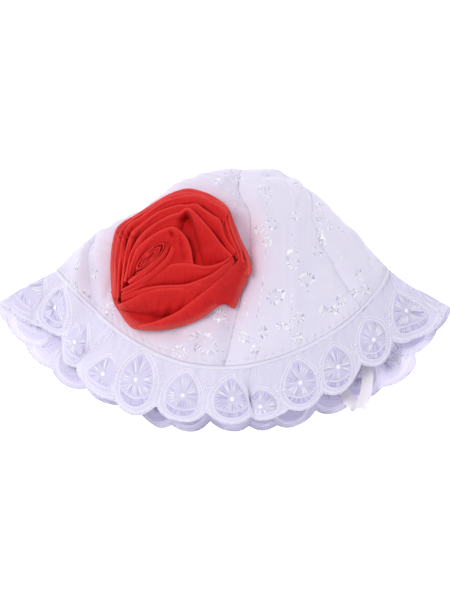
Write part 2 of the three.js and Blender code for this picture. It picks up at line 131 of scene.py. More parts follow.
# %% [markdown]
# ## The crown as one surface
# A real crown is six curved gores sewn edge to edge. It could be sculpted, but a surface that is
# written as a rule can be asked for a place anywhere, which the gores, the stitches, the cord, the
# ruffle and the rose all need. v runs from the button point at 0 to the rim at 1, and the angle goes
# round from the middle of the front over the right side.

# %% Sections of the crown
# One row for each v: where the crown's sides, front and back lie, and how high it rises between them.
CROWN = table("v leftX leftY rightX rightY edgeZ rise frontY backY drop", [
    [0.00, 12, 81.9, 12, 81.9, 22.0, 0, 81.9, 81.9, 0],
    [0.10, -3, 80.2, 24, 82.0, 22.5, 16, 75, 79, 15],
    [0.20, -15, 77.4, 34, 80.0, 22.5, 26, 64, 70, 24],
    [0.35, -32, 70.5, 48, 71.5, 21.5, 36, 46, 52, 32],
    [0.50, -48, 57.8, 60.5, 61.2, 20.0, 40, 25, 33, 33],
    [0.75, -78.5, 42.5, 80.5, 42.0, 15.0, 40, -9, 0, 26],
    [1.00, -102, 21.0, 98, 22.5, 12.0, 34, -47, -36.5, 21],
])
print("crown from side to side at the rim, mm:", CROWN["rightX"][-1] - CROWN["leftX"][-1])

# %% Folds, creases and seams
# Each fold runs in a straight line over the spread-out front, and a valley has a height below 0.
FOLDS = table("fromAngle fromV toAngle toV width height", [
    [-8, 0.14, 9, 0.48, 6, -3.0],
    [9, 0.48, 2, 0.97, 6, -3.0],
    [-8, 0.50, -7, 0.82, 12, 2.5],
    [55, 0.42, 55, 0.90, 6, -2.2],
    [-80, 0.78, -50, 1.00, 6, -3.0],
    [-70, 0.88, -62, 1.00, 9, 2.0],
    [52, 0.16, 80, 0.26, 5, -2.0],
    [74, 0.30, 52, 0.56, 6, 2.2],
    [42, 0.50, 27, 0.90, 5, 1.6],
    [-25, 0.91, -27, 0.99, 5, -1.4],
    [-17, 0.92, -17, 0.99, 5, -1.4],
    [-8, 0.92, -7, 0.99, 5, -1.4],
])
# Fine creases that the solids leave out: pressed lines, puckers at the rim, pulls beside the rose.
CREASES = table("fromAngle fromV toAngle toV width height", [
    [36, 0.44, 27, 0.66, 1.6, 0.7],
    [27, 0.66, 25, 0.92, 1.6, 0.6],
    [20, 0.12, 30, 0.30, 2.4, -0.8],
    [48, 0.15, 62, 0.20, 1.8, -1.0],
    [62, 0.20, 50, 0.40, 2.2, 0.9],
    [-58, 0.60, -47, 0.98, 2.0, -1.6],
    [-22, 0.88, -33, 0.99, 1.8, -0.9],
    [-12, 0.86, -21, 0.99, 1.8, 0.8],
    [-3, 0.84, -12, 0.99, 1.8, -0.9],
    [-30, 0.86, -40, 0.99, 2.0, -0.9],
    [5, 0.25, -6, 0.45, 2.2, -0.8],
    [-12, 0.10, -20, 0.30, 2.4, -0.9],
    [-20, 0.12, -30, 0.26, 2.0, 0.8],
    [68, 0.60, 66, 0.85, 2.2, 0.6],
    [80, 0.70, 74, 0.95, 2.4, -0.7],
])
# Angle of each seam, in degrees, on its way down from the button point.
SEAMS = table("v front right rightBack back leftBack left", [
    [0.00, -10, 80, 130, 182, 232, 270],
    [0.20, -4, 90, 129, 182, 232, 264],
    [0.35, 9, 85, 128, 182, 232, 259],
    [0.50, 10, 58, 127, 182, 232, 258],
    [0.60, 9, 54, 126, 181, 232, 262],
    [0.75, 6, 54, 125, 181, 232, 274],
    [0.85, 4, 55, 124, 180, 232, 290],
    [1.00, 1, 56, 122, 180, 232, 310],
])
SEAM_NAMES = "front right rightBack back leftBack left".split()
print("folds:", len(FOLDS["width"]), "creases:", len(CREASES["width"]))

# %% The crown's rule
SIDE_FULLNESS = (1.0, 0.7)   # how soon the rim bends back from the front, at the left and the right
FLOOR_ROUNDING = 3.0         # radius with which the back turns on to the floor
CROWN_LENGTH = 135.0         # over the front, from the button point to the rim


def seam_angle(seam, v):
    """Angle of a seam in radians. Seam 6 is seam 0 again, after a whole turn."""
    name = SEAM_NAMES[seam % 6]
    return np.radians(along(SEAMS, "v", v, name) + 360 * (seam // 6))


def chart(angle, v):
    """A place on the crown as flat millimetres."""
    half = (along(CROWN, "v", v, "rightX") - along(CROWN, "v", v, "leftX")) / 2
    return np.stack([angle * half, v * CROWN_LENGTH], axis=-1)


def fold_height(angle, v, folds):
    """Height of the folds over the front of the crown. Creases fade out at their ends."""
    front = smoothstep(np.cos(angle), 0, 0.2)
    place = chart(np.arctan2(np.sin(angle), np.cos(angle)), v)
    height = np.zeros_like(front)
    for i in range(len(folds["width"])):
        start = chart(np.radians(folds["fromAngle"][i]), np.array(folds["fromV"][i]))
        line = chart(np.radians(folds["toAngle"][i]), np.array(folds["toV"][i])) - start
        t = np.clip(((place - start) @ line) / (line @ line), 0, 1)
        away = np.linalg.norm(place - start - t[..., None] * line, axis=-1)
        fade = np.sin(np.pi * np.clip(0.12 + 0.76 * t, 0, 1)) if folds is CREASES else 1.0
        height = height + folds["height"][i] * fade * np.exp(-((away / folds["width"][i]) ** 2))
    return height * front


def bare_crown(angle, v):
    """Smooth crown without its folds."""
    side = np.sin(angle)
    facing = np.cos(angle)
    at = {name: along(CROWN, "v", v, name) for name in CROWN if name != "v"}
    share = (1 + side) / 2
    side_y = at["leftY"] * (1 - share) + at["rightY"] * share
    middle_y = np.where(facing > 0, at["frontY"], at["backY"])
    fullness = SIDE_FULLNESS[0] * (1 - share) + SIDE_FULLNESS[1] * share
    x = (at["leftX"] + at["rightX"]) / 2 + (at["rightX"] - at["leftX"]) / 2 * side
    pull = np.abs(facing) ** (2 * fullness)
    y = side_y * (1 - pull) + middle_y * pull
    free = at["edgeZ"] + at["drop"] * facing
    rounded = (free + FLOOR_ROUNDING) ** 2 / (4 * FLOOR_ROUNDING)
    back = np.where(free > FLOOR_ROUNDING, free, np.where(free > -FLOOR_ROUNDING, rounded, 0))
    z = np.where(facing > 0, at["edgeZ"] + at["rise"] * facing, back)
    return np.stack([x, y, z], axis=-1)


def crown(angle, v, extra=0.0):
    """The crown's outer surface, its normal and the direction that leads down to the rim."""
    angle, v = np.broadcast_arrays(np.asarray(angle, float), np.asarray(v, float))
    d = 0.004
    down = unit(bare_crown(angle, np.minimum(v + d, 1)) - bare_crown(angle, np.maximum(v - d, 0)))
    around = unit(bare_crown(angle + d, v) - bare_crown(angle - d, v))
    normal = unit(np.cross(down, around))
    height = fold_height(angle, v, FOLDS) + extra
    return bare_crown(angle, v) + normal * height[..., None], normal, down


middle, _, _ = crown(0.0, 1.0)
print("middle of the front rim, mm:", middle.round(1))

# %% [markdown]
# ## From numbers to meshes
# Every piece below is a grid of points with a front and a back, closed at its edges, so faces point
# outwards and the cloth has a real thickness. One helper turns such a grid into an object whose place
# is in its mesh, in metres, and gives it a map of flat cloth coordinates for the weave.

# %% An object from a grid
def in_scene(name, data):
    """An object in the scene, from a mesh, light or camera."""
    made = bpy.data.objects.new(name, data)
    bpy.context.scene.collection.objects.link(made)
    return made


def linked(name, points, edges=(), faces=()):
    """An object from points in millimetres, and its mesh in metres."""
    mesh = bpy.data.meshes.new(name)
    mesh.from_pydata(((np.asarray(points) - HAT_CENTRE) * MM).tolist(), edges, faces)
    return in_scene(name, mesh), mesh


def new_object(name, points, faces, corner_map, sharp=50):
    """A smooth object with a flat cloth map, whose edges are sharp past an angle."""
    piece, mesh = linked(name, points, faces=faces)
    layer = mesh.uv_layers.new(name="cloth")
    layer.data.foreach_set("uv", np.asarray(corner_map, np.float32).ravel())
    mesh.shade_smooth()
    mesh.set_sharp_from_angle(angle=math.radians(sharp))
    mesh.validate()
    return piece


def grid_quads(columns, rows, wrap):
    """Corners of each quad of a grid as (column, row) pairs, columns running on past the last."""
    i = np.arange(columns if wrap else columns - 1)
    j = np.arange(rows - 1)
    i, j = [a.ravel() for a in np.meshgrid(i, j, indexing="ij")]
    return np.stack([i, i + 1, i + 1, i], 1), np.stack([j, j, j + 1, j + 1], 1)

# %% A wall of cloth
def cloth_wall(name, outer, inner, flat, wrap=False, sharp=50):
    """A closed wall of two skins, with flat cloth coordinates in metres for each corner."""
    columns, rows = outer.shape[:2]
    points = np.concatenate([outer.reshape(-1, 3), inner.reshape(-1, 3)])
    i, j = grid_quads(columns, rows, wrap)
    front = (i % columns) * rows + j
    back = (front + columns * rows)[:, ::-1]
    faces = [front, back]
    maps = [flat[i, j], flat[i[:, ::-1], j[:, ::-1]]]

    def edge(ia, ja, ib, jb):
        a = (ia % columns) * rows + ja
        b = (ib % columns) * rows + jb
        faces.append(np.stack([b, a, a + columns * rows, b + columns * rows], 1))
        maps.append(np.stack([flat[ib, jb], flat[ia, ja], flat[ia, ja], flat[ib, jb]], 1))

    run = np.arange(columns if wrap else columns - 1)
    edge(run, np.zeros_like(run), run + 1, np.zeros_like(run))
    edge(run + 1, np.full_like(run, rows - 1), run, np.full_like(run, rows - 1))
    if not wrap:
        rise = np.arange(rows - 1)
        edge(np.zeros_like(rise), rise + 1, np.zeros_like(rise), rise)
        edge(np.full_like(rise, columns - 1), rise, np.full_like(rise, columns - 1), rise + 1)
    all_faces = np.concatenate(faces)
    all_maps = np.concatenate(maps)
    a, b, c = points[all_faces[:, 0]], points[all_faces[:, 1]], points[all_faces[:, 2]]
    d = points[all_faces[:, 3]]
    volume = np.einsum("ij,ij->", a, np.cross(b, c)) + np.einsum("ij,ij->", a, np.cross(c, d))
    if volume < 0:
        all_faces = all_faces[:, ::-1]
        all_maps = all_maps[:, ::-1]
    return new_object(name, points, all_faces.tolist(), all_maps, sharp)


def store(piece, name, values):
    """Keeps a value for every point of a wall's front skin, and the same for its back skin."""
    layer = piece.data.attributes.new(name, "FLOAT", "POINT")
    layer.data.foreach_set("value", np.tile(values.ravel(), 2).astype(np.float32))


def triangles(piece):
    return sum(len(p.vertices) - 2 for p in piece.data.polygons)


def stands_in(piece, node_name):
    """Ties a finished piece to the hat, in the place of one of its solids."""
    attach(piece, "root")
    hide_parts(node_name)


def rides(piece):
    """Ties a finished piece that has no solid of its own to the hat."""
    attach(piece, "root")

# %% [markdown]
# ## Colour and nodes
# Colours are written as the hex values that the eye reads off the cloth, and one function turns them
# into the linear light that the renderer works with. One small function adds a node with its settings
# and its links, so that each material below reads like a recipe.

# %% Material helpers
def linear(hex_colour):
    parts = [int(hex_colour[i:i + 2], 16) / 255 for i in (1, 3, 5)]
    return tuple(c / 12.92 if c <= 0.04045 else ((c + 0.055) / 1.055) ** 2.4 for c in parts) + (1.0,)


def node(tree, kind, settings=None, inputs=None):
    """A node with its settings and its inputs. An input is a value, an output, or a node's first output."""
    made = tree.nodes.new(kind)
    for key, value in (settings or {}).items():
        setattr(made, key, value)
    for key, value in (inputs or {}).items():
        if isinstance(value, bpy.types.Node):
            value = value.outputs[0]
        if isinstance(value, bpy.types.NodeSocket):
            tree.links.new(value, made.inputs[key])
        else:
            made.inputs[key].default_value = value
    return made


def new_material(name):
    material = bpy.data.materials.new(name)
    material.use_nodes = True
    material.node_tree.nodes.clear()
    return material, material.node_tree


def wave_scale(millimetres):
    """Scale at which a wave texture repeats at a real spacing, on coordinates in metres."""
    return 0.314 / (millimetres * MM)

# %% [markdown]
# ## White cotton
# The crown is fine white cotton over a lining, with optical brightener that gives it a lavender cast.
# Its weave has about 30 threads to the centimetre, too fine to show, so it is drawn as threads 0.9 mm
# apart, crossed as a plain weave, under a soft unevenness of the colour.

# %% Cotton material
def woven_bump(tree, coordinates, spacing, depth):
    """Relief of a plain weave, with its spacing and depth in millimetres."""
    across = node(tree, "ShaderNodeTexWave", {"bands_direction": "X"},
                  {"Vector": coordinates, "Scale": wave_scale(spacing), "Distortion": 0.6})
    down = node(tree, "ShaderNodeTexWave", {"bands_direction": "Y"},
                {"Vector": coordinates, "Scale": wave_scale(spacing), "Distortion": 0.6})
    crossed = node(tree, "ShaderNodeMath", {"operation": "ADD"},
                   {0: across.outputs["Fac"], 1: down.outputs["Fac"]})
    return node(tree, "ShaderNodeBump", None,
                {"Height": crossed, "Strength": 0.35, "Distance": depth * MM})


def cotton_material(name, pale, shaded, spacing):
    material, tree = new_material(name)
    place = node(tree, "ShaderNodeUVMap", {"uv_map": "cloth"})
    patches = node(tree, "ShaderNodeTexNoise", None,
                   {"Vector": place, "Scale": 32.0, "Detail": 3.0, "Roughness": 0.5})
    white = node(tree, "ShaderNodeMix", {"data_type": "RGBA"},
                 {"Factor": patches.outputs["Fac"], 6: linear(pale), 7: linear(shaded)})
    # Painted red reflection from the rose, in a darker pink that also paints shade beside it.
    painted_red_bounce = node(tree, "ShaderNodeAttribute", {"attribute_name": "painted_red_bounce"})
    colour = node(tree, "ShaderNodeMix", {"data_type": "RGBA"},
                  {"Factor": painted_red_bounce.outputs["Fac"], 6: white.outputs[2], 7: linear("#d49aae")})
    bump = woven_bump(tree, place, spacing, 0.12)
    shader = node(tree, "ShaderNodeBsdfPrincipled", None, {
        "Base Color": colour.outputs[2],
        "Roughness": 0.72,
        "Sheen Weight": 0.25,
        "Sheen Roughness": 0.4,
        "Sheen Tint": linear("#f4f1ff"),
        "Subsurface Weight": 0.12,
        "Subsurface Radius": (0.004, 0.004, 0.005),
        "Subsurface Scale": 1.0,
        "Specular IOR Level": 0.3,
        "Normal": bump,
    })
    node(tree, "ShaderNodeOutputMaterial", None, {"Surface": shader})
    return material


cotton = cotton_material("white cotton voile, woven", "#e9e5f6", "#dcd8ec", 0.9)
bias_tape = cotton_material("cotton bias tape", "#e7e4f3", "#dedaec", 0.7)
print("materials:", cotton.name, "and", bias_tape.name)

# %% [markdown]
# ## Six gores
# Each gore is a grid between two seams, laid on the crown's surface. A seam pulls the cloth in: a
# narrow groove, with small puckers that die away within a few millimetres. Those are added as heights
# over the surface, together with the fine creases, before the wall gets its thickness.

# %% Gores
GORE_NAMES = "right_front right_side right_back left_back left_side left_front".split()
GORE_COLUMNS = 64
GORE_ROWS = 112
BUTTON = 0.006            # v at which the gores start, round the button point
SEAM_GAP = 0.1            # between two gores
GROOVE = {"deep": 0.55, "wide": 1.1}
PUCKERS = {"high": 0.1, "pitch": 6.2, "reach": 5}
RIM_PULLS = {"high": 0.35, "pitch": 5.5, "reach": 5}
SLACK = 0.32              # height of the slow swell
CREASE_SHARE = 0.9
# Painted red light and painted shade from the rose on the cotton round it: middle, size, fade and strength.
RED_BOUNCE_PAINT = {"x": -26, "y": 14, "halfWide": 43, "halfHigh": 44, "spread": 0.16, "strength": 0.55}


def soft_waves(place, seed):
    """Slow, uneven swell of cloth that hangs slack, from a few crossed waves, the longest the highest."""
    numbers = np.random.default_rng(seed)
    total = np.zeros(place.shape[:-1])
    wavelengths = (58, 41, 29, 21)
    for wavelength in wavelengths:
        heading = numbers.uniform(0, math.tau)
        phase = numbers.uniform(0, math.tau)
        run = place @ np.array([math.cos(heading), math.sin(heading)])
        total += np.sin(math.tau * run / wavelength + phase) * wavelength / wavelengths[0]
    return total


def paint_red_bounce(place):
    """Painted red light and painted shade that the rose throws on the cotton round it, strongest at its edge.
    """
    away = np.hypot((place[..., 0] - RED_BOUNCE_PAINT["x"]) / RED_BOUNCE_PAINT["halfWide"],
                    (place[..., 1] - RED_BOUNCE_PAINT["y"]) / RED_BOUNCE_PAINT["halfHigh"]) - 1
    above = smoothstep(place[..., 1], -45, 20) * smoothstep(place[..., 2], 4, 20)
    return RED_BOUNCE_PAINT["strength"] * np.exp(-np.maximum(away, 0) / RED_BOUNCE_PAINT["spread"]) * (0.4 + 0.6 * above)


def sewn_relief(index, angle, v, flat, from_seam):
    """Heights that sewing gives a gore: grooves, puckers and pulls. What lies on the floor is flat."""
    groove = -GROOVE["deep"] * np.exp(-((from_seam / GROOVE["wide"]) ** 2))
    pucker = np.sin(math.tau * flat[..., 1] / PUCKERS["pitch"] + index)
    pucker = PUCKERS["high"] * pucker * np.exp(-((from_seam / PUCKERS["reach"]) ** 2))
    pull = RIM_PULLS["high"] * np.sin(math.tau * flat[..., 0] / RIM_PULLS["pitch"])
    pull = pull * np.exp(-(((1 - v) * CROWN_LENGTH / RIM_PULLS["reach"]) ** 2))
    swell = SLACK * soft_waves(flat, 11)
    raised = smoothstep(bare_crown(angle, v)[..., 2], 2.0, 10.0)
    return raised * (groove + pucker + pull + swell + CREASE_SHARE * fold_height(angle, v, CREASES))


def gore(index):
    u, v = np.meshgrid(np.linspace(0, 1, GORE_COLUMNS),
                       BUTTON + (1 - BUTTON) * np.linspace(0, 1, GORE_ROWS), indexing="ij")
    angle = seam_angle(index, v) * (1 - u) + seam_angle(index + 1, v) * u
    flat = chart(angle, v)
    # A gore bulges, so it is a little wider than the straight line from seam to seam.
    width = np.linalg.norm(bare_crown(angle[-1], v[-1]) - bare_crown(angle[0], v[0]), axis=-1) * 1.12 + 0.5
    from_seam = np.minimum(u, 1 - u) * width
    outer, normal, _ = crown(angle, v, sewn_relief(index, angle, v, flat, from_seam))
    outer[0] += unit(outer[1] - outer[0]) * SEAM_GAP / 2
    outer[-1] += unit(outer[-2] - outer[-1]) * SEAM_GAP / 2
    outer[..., 2] = np.maximum(outer[..., 2], 0.0)
    inner = outer - normal * COTTON
    piece = cloth_wall(f"cotton_gore_{GORE_NAMES[index]}", outer, inner, flat * MM)
    # Paints the rose's red light and shade on to the gore.
    store(piece, "painted_red_bounce", paint_red_bounce(outer))
    piece.data.materials.append(cotton)
    stands_in(piece, f"gore_{GORE_NAMES[index]}")
    return piece, outer


gores = [gore(index) for index in range(6)]
print("gore triangles:", [triangles(piece) for piece, _ in gores])

# %% Crown surface that the stitches are sewn to
def crown_surface():
    """The outer skins of all gores, as one surface that can be asked for its nearest place."""
    points, faces = [], []
    for _, outer in gores:
        i, j = grid_quads(GORE_COLUMNS, GORE_ROWS, False)
        faces += (i * GORE_ROWS + j + len(points) * GORE_COLUMNS * GORE_ROWS).tolist()
        points.append(outer.reshape(-1, 3))
    return BVHTree.FromPolygons(np.concatenate(points).tolist(), faces)


crown_tree = crown_surface()


def seen_on_crown(x, y):
    """Where the line of sight through x, y of the picture, in millimetres, meets the crown."""
    tilt = math.radians(VIEW_TILT)
    sight = Vector((0, math.sin(tilt), -math.cos(tilt)))
    up = Vector((0, math.cos(tilt), math.sin(tilt)))
    start = Vector((x, 0, 20)) + up * y - sight * 300
    place, normal, _, _ = crown_tree.ray_cast(start, sight)
    return place, normal


print("crown under the middle of the picture:", seen_on_crown(0, 0)[0])

# %% [markdown]
# ## Stitches and cords by Geometry Nodes
# The hat carries thousands of stitches: machine embroidery on the crown, rays and satin stitch in the
# lace, a line of topstitch round the rim. Each is the same short, plump thread laid another way, so one
# tree places it on points that carry their own direction, normal and size. A second tree runs a round
# cord along any path. Both end in real meshes, because instances would be lost on export.

# %% Tree that lays stitches
def new_tree(name, inputs, output):
    """A tree with named inputs, each a kind of socket and its value, and its group input node."""
    tree = bpy.data.node_groups.new(name, "GeometryNodeTree")
    for key, (kind, value) in inputs.items():
        made = tree.interface.new_socket(name=key, in_out="INPUT", socket_type="NodeSocket" + kind)
        if value is not None:
            made.default_value = value
    tree.interface.new_socket(name=output, in_out="OUTPUT", socket_type="NodeSocketGeometry")
    return tree, node(tree, "NodeGroupInput")


def end_tree(tree, given, geometry, output):
    """Ends a tree: real meshes, smooth, with the given thread on them."""
    real = node(tree, "GeometryNodeRealizeInstances", None, {"Geometry": geometry})
    smooth = node(tree, "GeometryNodeSetShadeSmooth", None, {"Geometry": real})
    coated = node(tree, "GeometryNodeSetMaterial", None,
                  {"Geometry": smooth, "Material": given.outputs["Thread"]})
    node(tree, "NodeGroupOutput", None, {output: coated})
    return tree


def stitch_tree():
    """Lays a plump thread on every point, along its own direction."""
    tree, given = new_tree("lay stitches", {
        "Points": ("Geometry", None),
        "Sides": ("Int", 6),
        "Rings": ("Int", 4),
        "Seed": ("Int", 5),
        "Thread": ("Material", None),
    }, "Stitches")
    named = {
        key: node(tree, "GeometryNodeInputNamedAttribute", {"data_type": "FLOAT_VECTOR"}, {"Name": key})
        for key in ("lie", "face", "size")
    }
    thread = node(tree, "GeometryNodeMeshUVSphere", None,
                  {"Segments": given.outputs["Sides"], "Rings": given.outputs["Rings"], "Radius": 0.5})
    stand = node(tree, "FunctionNodeAlignRotationToVector", {"axis": "Z"},
                 {"Vector": named["face"].outputs["Attribute"]})
    turn = node(tree, "FunctionNodeAlignRotationToVector", {"axis": "X", "pivot_axis": "Z"},
                {"Rotation": stand, "Vector": named["lie"].outputs["Attribute"]})
    placed = node(tree, "GeometryNodeInstanceOnPoints", None, {
        "Points": given.outputs["Points"],
        "Instance": thread,
        "Rotation": turn,
        "Scale": named["size"].outputs["Attribute"],
    })
    # A random share of painted shade for each stitch, standing for the angle at which it lies.
    painted_angle_shade = node(tree, "FunctionNodeRandomValue", {"data_type": "FLOAT"}, {"Seed": given.outputs["Seed"]})
    kept = node(tree, "GeometryNodeStoreNamedAttribute", {"data_type": "FLOAT", "domain": "INSTANCE"},
                {"Geometry": placed, "Name": "painted_angle_shade", "Value": painted_angle_shade.outputs[1]})
    return end_tree(tree, given, kept, "Stitches")

# %% Tree that runs a cord
def cord_tree():
    """Runs a round cord along every path of edges."""
    tree, given = new_tree("run cord", {
        "Paths": ("Geometry", None),
        "Radius": ("Float", 0.0005),
        "Sides": ("Int", 5),
        "Thread": ("Material", None),
    }, "Cords")
    path = node(tree, "GeometryNodeMeshToCurve", None, {"Mesh": given.outputs["Paths"]})
    section = node(tree, "GeometryNodeCurvePrimitiveCircle", None,
                   {"Resolution": given.outputs["Sides"], "Radius": given.outputs["Radius"]})
    swept = node(tree, "GeometryNodeCurveToMesh", None, {
        "Curve": path,
        "Profile Curve": section,
        "Fill Caps": True,
    })
    return end_tree(tree, given, swept, "Cords")


STITCH_TREE = stitch_tree()
CORD_TREE = cord_tree()
print("trees:", STITCH_TREE.name, "and", CORD_TREE.name)

# %% Pieces grown by the trees
def grown(seed_object, tree, inputs):
    """Runs a tree on an object and keeps the result as the object's own plain mesh."""
    modifier = seed_object.modifiers.new(tree.name, "NODES")
    modifier.node_group = tree
    for item in tree.interface.items_tree:
        if item.in_out == "INPUT" and item.name in inputs:
            modifier[item.identifier] = inputs[item.name]
    evaluated = seed_object.evaluated_get(bpy.context.evaluated_depsgraph_get())
    mesh = bpy.data.meshes.new_from_object(evaluated)
    seed_object.modifiers.clear()
    seed_object.data = mesh
    if not mesh.materials:
        mesh.materials.append(inputs["Thread"])
    return seed_object


def sewn(name, centres, lies, faces, sizes, thread, sides=6, rings=4, seed=5):
    """A piece of stitches: centres, directions and normals, with length, width and height of each."""
    points, mesh = linked(name, centres)
    for key, values in (("lie", lies), ("face", faces), ("size", np.asarray(sizes) * MM)):
        layer = mesh.attributes.new(key, "FLOAT_VECTOR", "POINT")
        layer.data.foreach_set("vector", np.asarray(values, np.float32).ravel())
    return grown(points, STITCH_TREE, {"Sides": sides, "Rings": rings, "Seed": seed, "Thread": thread})


def corded(name, paths, radius, thread, sides=5):
    """A piece of cord along paths in millimetres. A closed path ends on its own first point."""
    points, edges = [], []
    for path in paths:
        closed = np.allclose(path[0], path[-1])
        kept = path[:-1] if closed else path
        first = sum(len(p) for p in points)
        steps = np.arange(len(kept) if closed else len(kept) - 1)
        edges += np.stack([first + steps, first + (steps + 1) % len(kept)], 1).tolist()
        points.append(kept)
    line, _ = linked(name, np.concatenate(points), edges)
    return grown(line, CORD_TREE, {"Radius": radius * MM, "Sides": sides, "Thread": thread})

# %% [markdown]
# ## Embroidery thread
# The crown is embroidered in glossy white rayon, a filament thread that mirrors the light at one angle
# and goes grey at the next. A glossy shader gives that flash, and each stitch is also painted at random
# from white to silver grey, as painted glint and shade for its angle. The lace has duller threads of cotton.

# %% Thread materials
def thread_material(name, lit_colour, shaded_colour, rarity, roughness):
    """Thread whose stitches are each painted between a lit and a shaded colour, as painted glint and shade.
    The higher the rarity, the fewer of its stitches are painted shaded.
    """
    material, tree = new_material(name)
    painted_angle_shade = node(tree, "ShaderNodeAttribute", {"attribute_name": "painted_angle_shade"})
    curve = node(tree, "ShaderNodeMath", {"operation": "POWER"}, {0: painted_angle_shade.outputs["Fac"], 1: rarity})
    colour = node(tree, "ShaderNodeMix", {"data_type": "RGBA"},
                  {"Factor": curve, 6: linear(lit_colour), 7: linear(shaded_colour)})
    shader = node(tree, "ShaderNodeBsdfPrincipled", None, {
        "Base Color": colour.outputs[2],
        "Roughness": roughness,
        "Specular IOR Level": 0.9,
    })
    node(tree, "ShaderNodeOutputMaterial", None, {"Surface": shader})
    return material


# Each thread has a lit colour and a painted shaded colour, mixed stitch by stitch.
rayon = thread_material("rayon embroidery thread", "#ffffff", "#9d95c2", 1.9, 0.22)
lace_thread = thread_material("mercerised lace thread", "#ffffff", "#b2a9da", 1.0, 0.35)
lace_cord_thread = thread_material("twisted cotton cord", "#f6f3fe", "#f6f3fe", 1.0, 0.5)
eyelet_thread = thread_material("two-ply lace thread", "#ece7fa", "#ece7fa", 1.0, 0.5)
satin_thread = thread_material("rayon satin stitch", "#efebfb", "#bfb7e2", 1.0, 0.3)
beige_thread = thread_material("polyester sewing thread", "#e2d9da", "#c6bcc2", 1.0, 0.4)
print("brightest thread:", rayon.name)

# %% [markdown]
# ## The embroidery
# Sprigs wander from the button point down to the rim: dashed stems, round bursts of single stitches,
# and oval leaves with a comb of stitches round them. Their places on the front are read off the
# picture. The rest of the crown carries the same sprigs, scattered by a fixed seed, as the cloth was
# embroidered all over before it was cut.

# %% Places of the motifs and stems
# X and y are millimetres to the right and up in the picture, from its middle. Turn is the way of a leaf.
BURSTS = table("x y size", [
    [20, 42, 3.6], [42, 50, 3.6], [28, 45, 4.2], [25, 34.5, 3.4], [57, 56, 3.6], [56, 40, 4.0],
    [55, 29, 4.0], [69, 0, 4.2], [65, -6, 3.4], [58.5, -6.5, 3.6], [44, -10, 4.0], [38, -14.5, 3.8],
    [58, 35.5, 3.2], [77.5, 4.5, 3.2], [33, -15, 3.0], [43, -22, 3.4], [11, -22, 3.8], [22, -19, 4.0],
    [18, -29, 3.4], [81, 15, 4.4], [84, 6, 4.0], [-3, -9, 4.4], [-80, 30, 3.6], [-78, 15, 3.4],
    [6, 77, 3.6], [66, 66, 3.0], [24, -38, 3.0], [-3.5, 71, 3.4], [45, 69, 3.6], [50.5, 66.5, 3.2],
    [-83, 3.5, 3.0], [8.5, 72, 2.8], [-89, 20, 2.8],
])
LEAVES = table("x y size turn", [
    [24, 65, 5.0, 70], [40, 24, 5.2, 80], [48, 12, 5.0, 160], [30, 2, 5.2, 150], [-12, -25, 7.6, 40],
    [60, 46, 4.4, 20], [-27, -30, 4.0, 30], [-64, 4, 4.6, 60], [-90, 8, 4.2, 40], [-68, -6, 4.0, 100],
])
# Each stem runs through three places of the picture.
STEMS = table("x0 y0 x1 y1 x2 y2", [
    [22, 74, 25, 55, 24, 34], [24, 34, 22, 8, 17, -16], [40, 62, 44, 54, 43, 45],
    [39, 40, 42, 32, 38, 27], [61, 48, 70, 42, 78, 34], [67, 30, 70, 25, 73, 20],
    [40, 8, 39, -2, 40, -8], [63, 14, 64, 10, 63, 6], [13, 20, 11, 14, 13, 8],
    [10, 0, 13, -6, 12, -12], [50, 62, 54, 60, 57, 57], [28, 71, 36, 68, 44, 66],
    [-14, -32, -4, -30, 2, -32], [86, 26, 90, 20, 92, 16], [-80, 26, -79, 20, -79, 16],
    [-30, -28, -22, -26, -16, -28], [48, 6, 54, 0, 57, -3], [-2, 78, 2, 74, 6, 72],
    [48, 54, 54, 50, 58, 42], [26, 60, 30, 54, 31, 48], [-60, 40, -52, 48, -44, 54],
    [-20, 72, -12, 74, -4, 76], [9, 75, 12, 71, 15, 72], [25, 78, 26, 74, 26, 70],
    [5, 64, 6, 57, 6, 50], [-4, 68, -4, 62, -3, 57], [88, 27, 94, 22, 100, 17],
    [-39, -26, -37, -28, -33, -28], [-14, -18, -18, -28, -12, -36], [0, -12, 3, -20, 4, -28],
])
print("bursts:", len(BURSTS["x"]), "leaves:", len(LEAVES["x"]), "stems:", len(STEMS["x0"]))

# %% Stitches of a motif and a stem
BURST_STITCHES = 19
LEAF_STITCHES = 38
MOTIF_THREAD = 0.92
STEM_THREAD = 0.7
DASH = 3.0                # length of a stem's stitch
DASH_GAP = 0.9


def add_stitch(rows, start, end, normal, width):
    """Adds one plump stitch between two places, a little longer than they are apart."""
    run = Vector(end) - Vector(start)
    height = width * 0.95
    middle_place = (Vector(start) + Vector(end)) / 2 + Vector(normal) * height * 0.35
    size = (run.length * 1.12, width, height)
    rows.append((tuple(middle_place), tuple(run.normalized()), tuple(normal), size))


def sew_down(rows, start, end, width):
    """Adds a stitch between the crown's nearest places to two points."""
    (start, normal, *_), (end, *_) = [crown_tree.find_nearest(Vector(place)) for place in (start, end)]
    add_stitch(rows, start, end, normal, width)


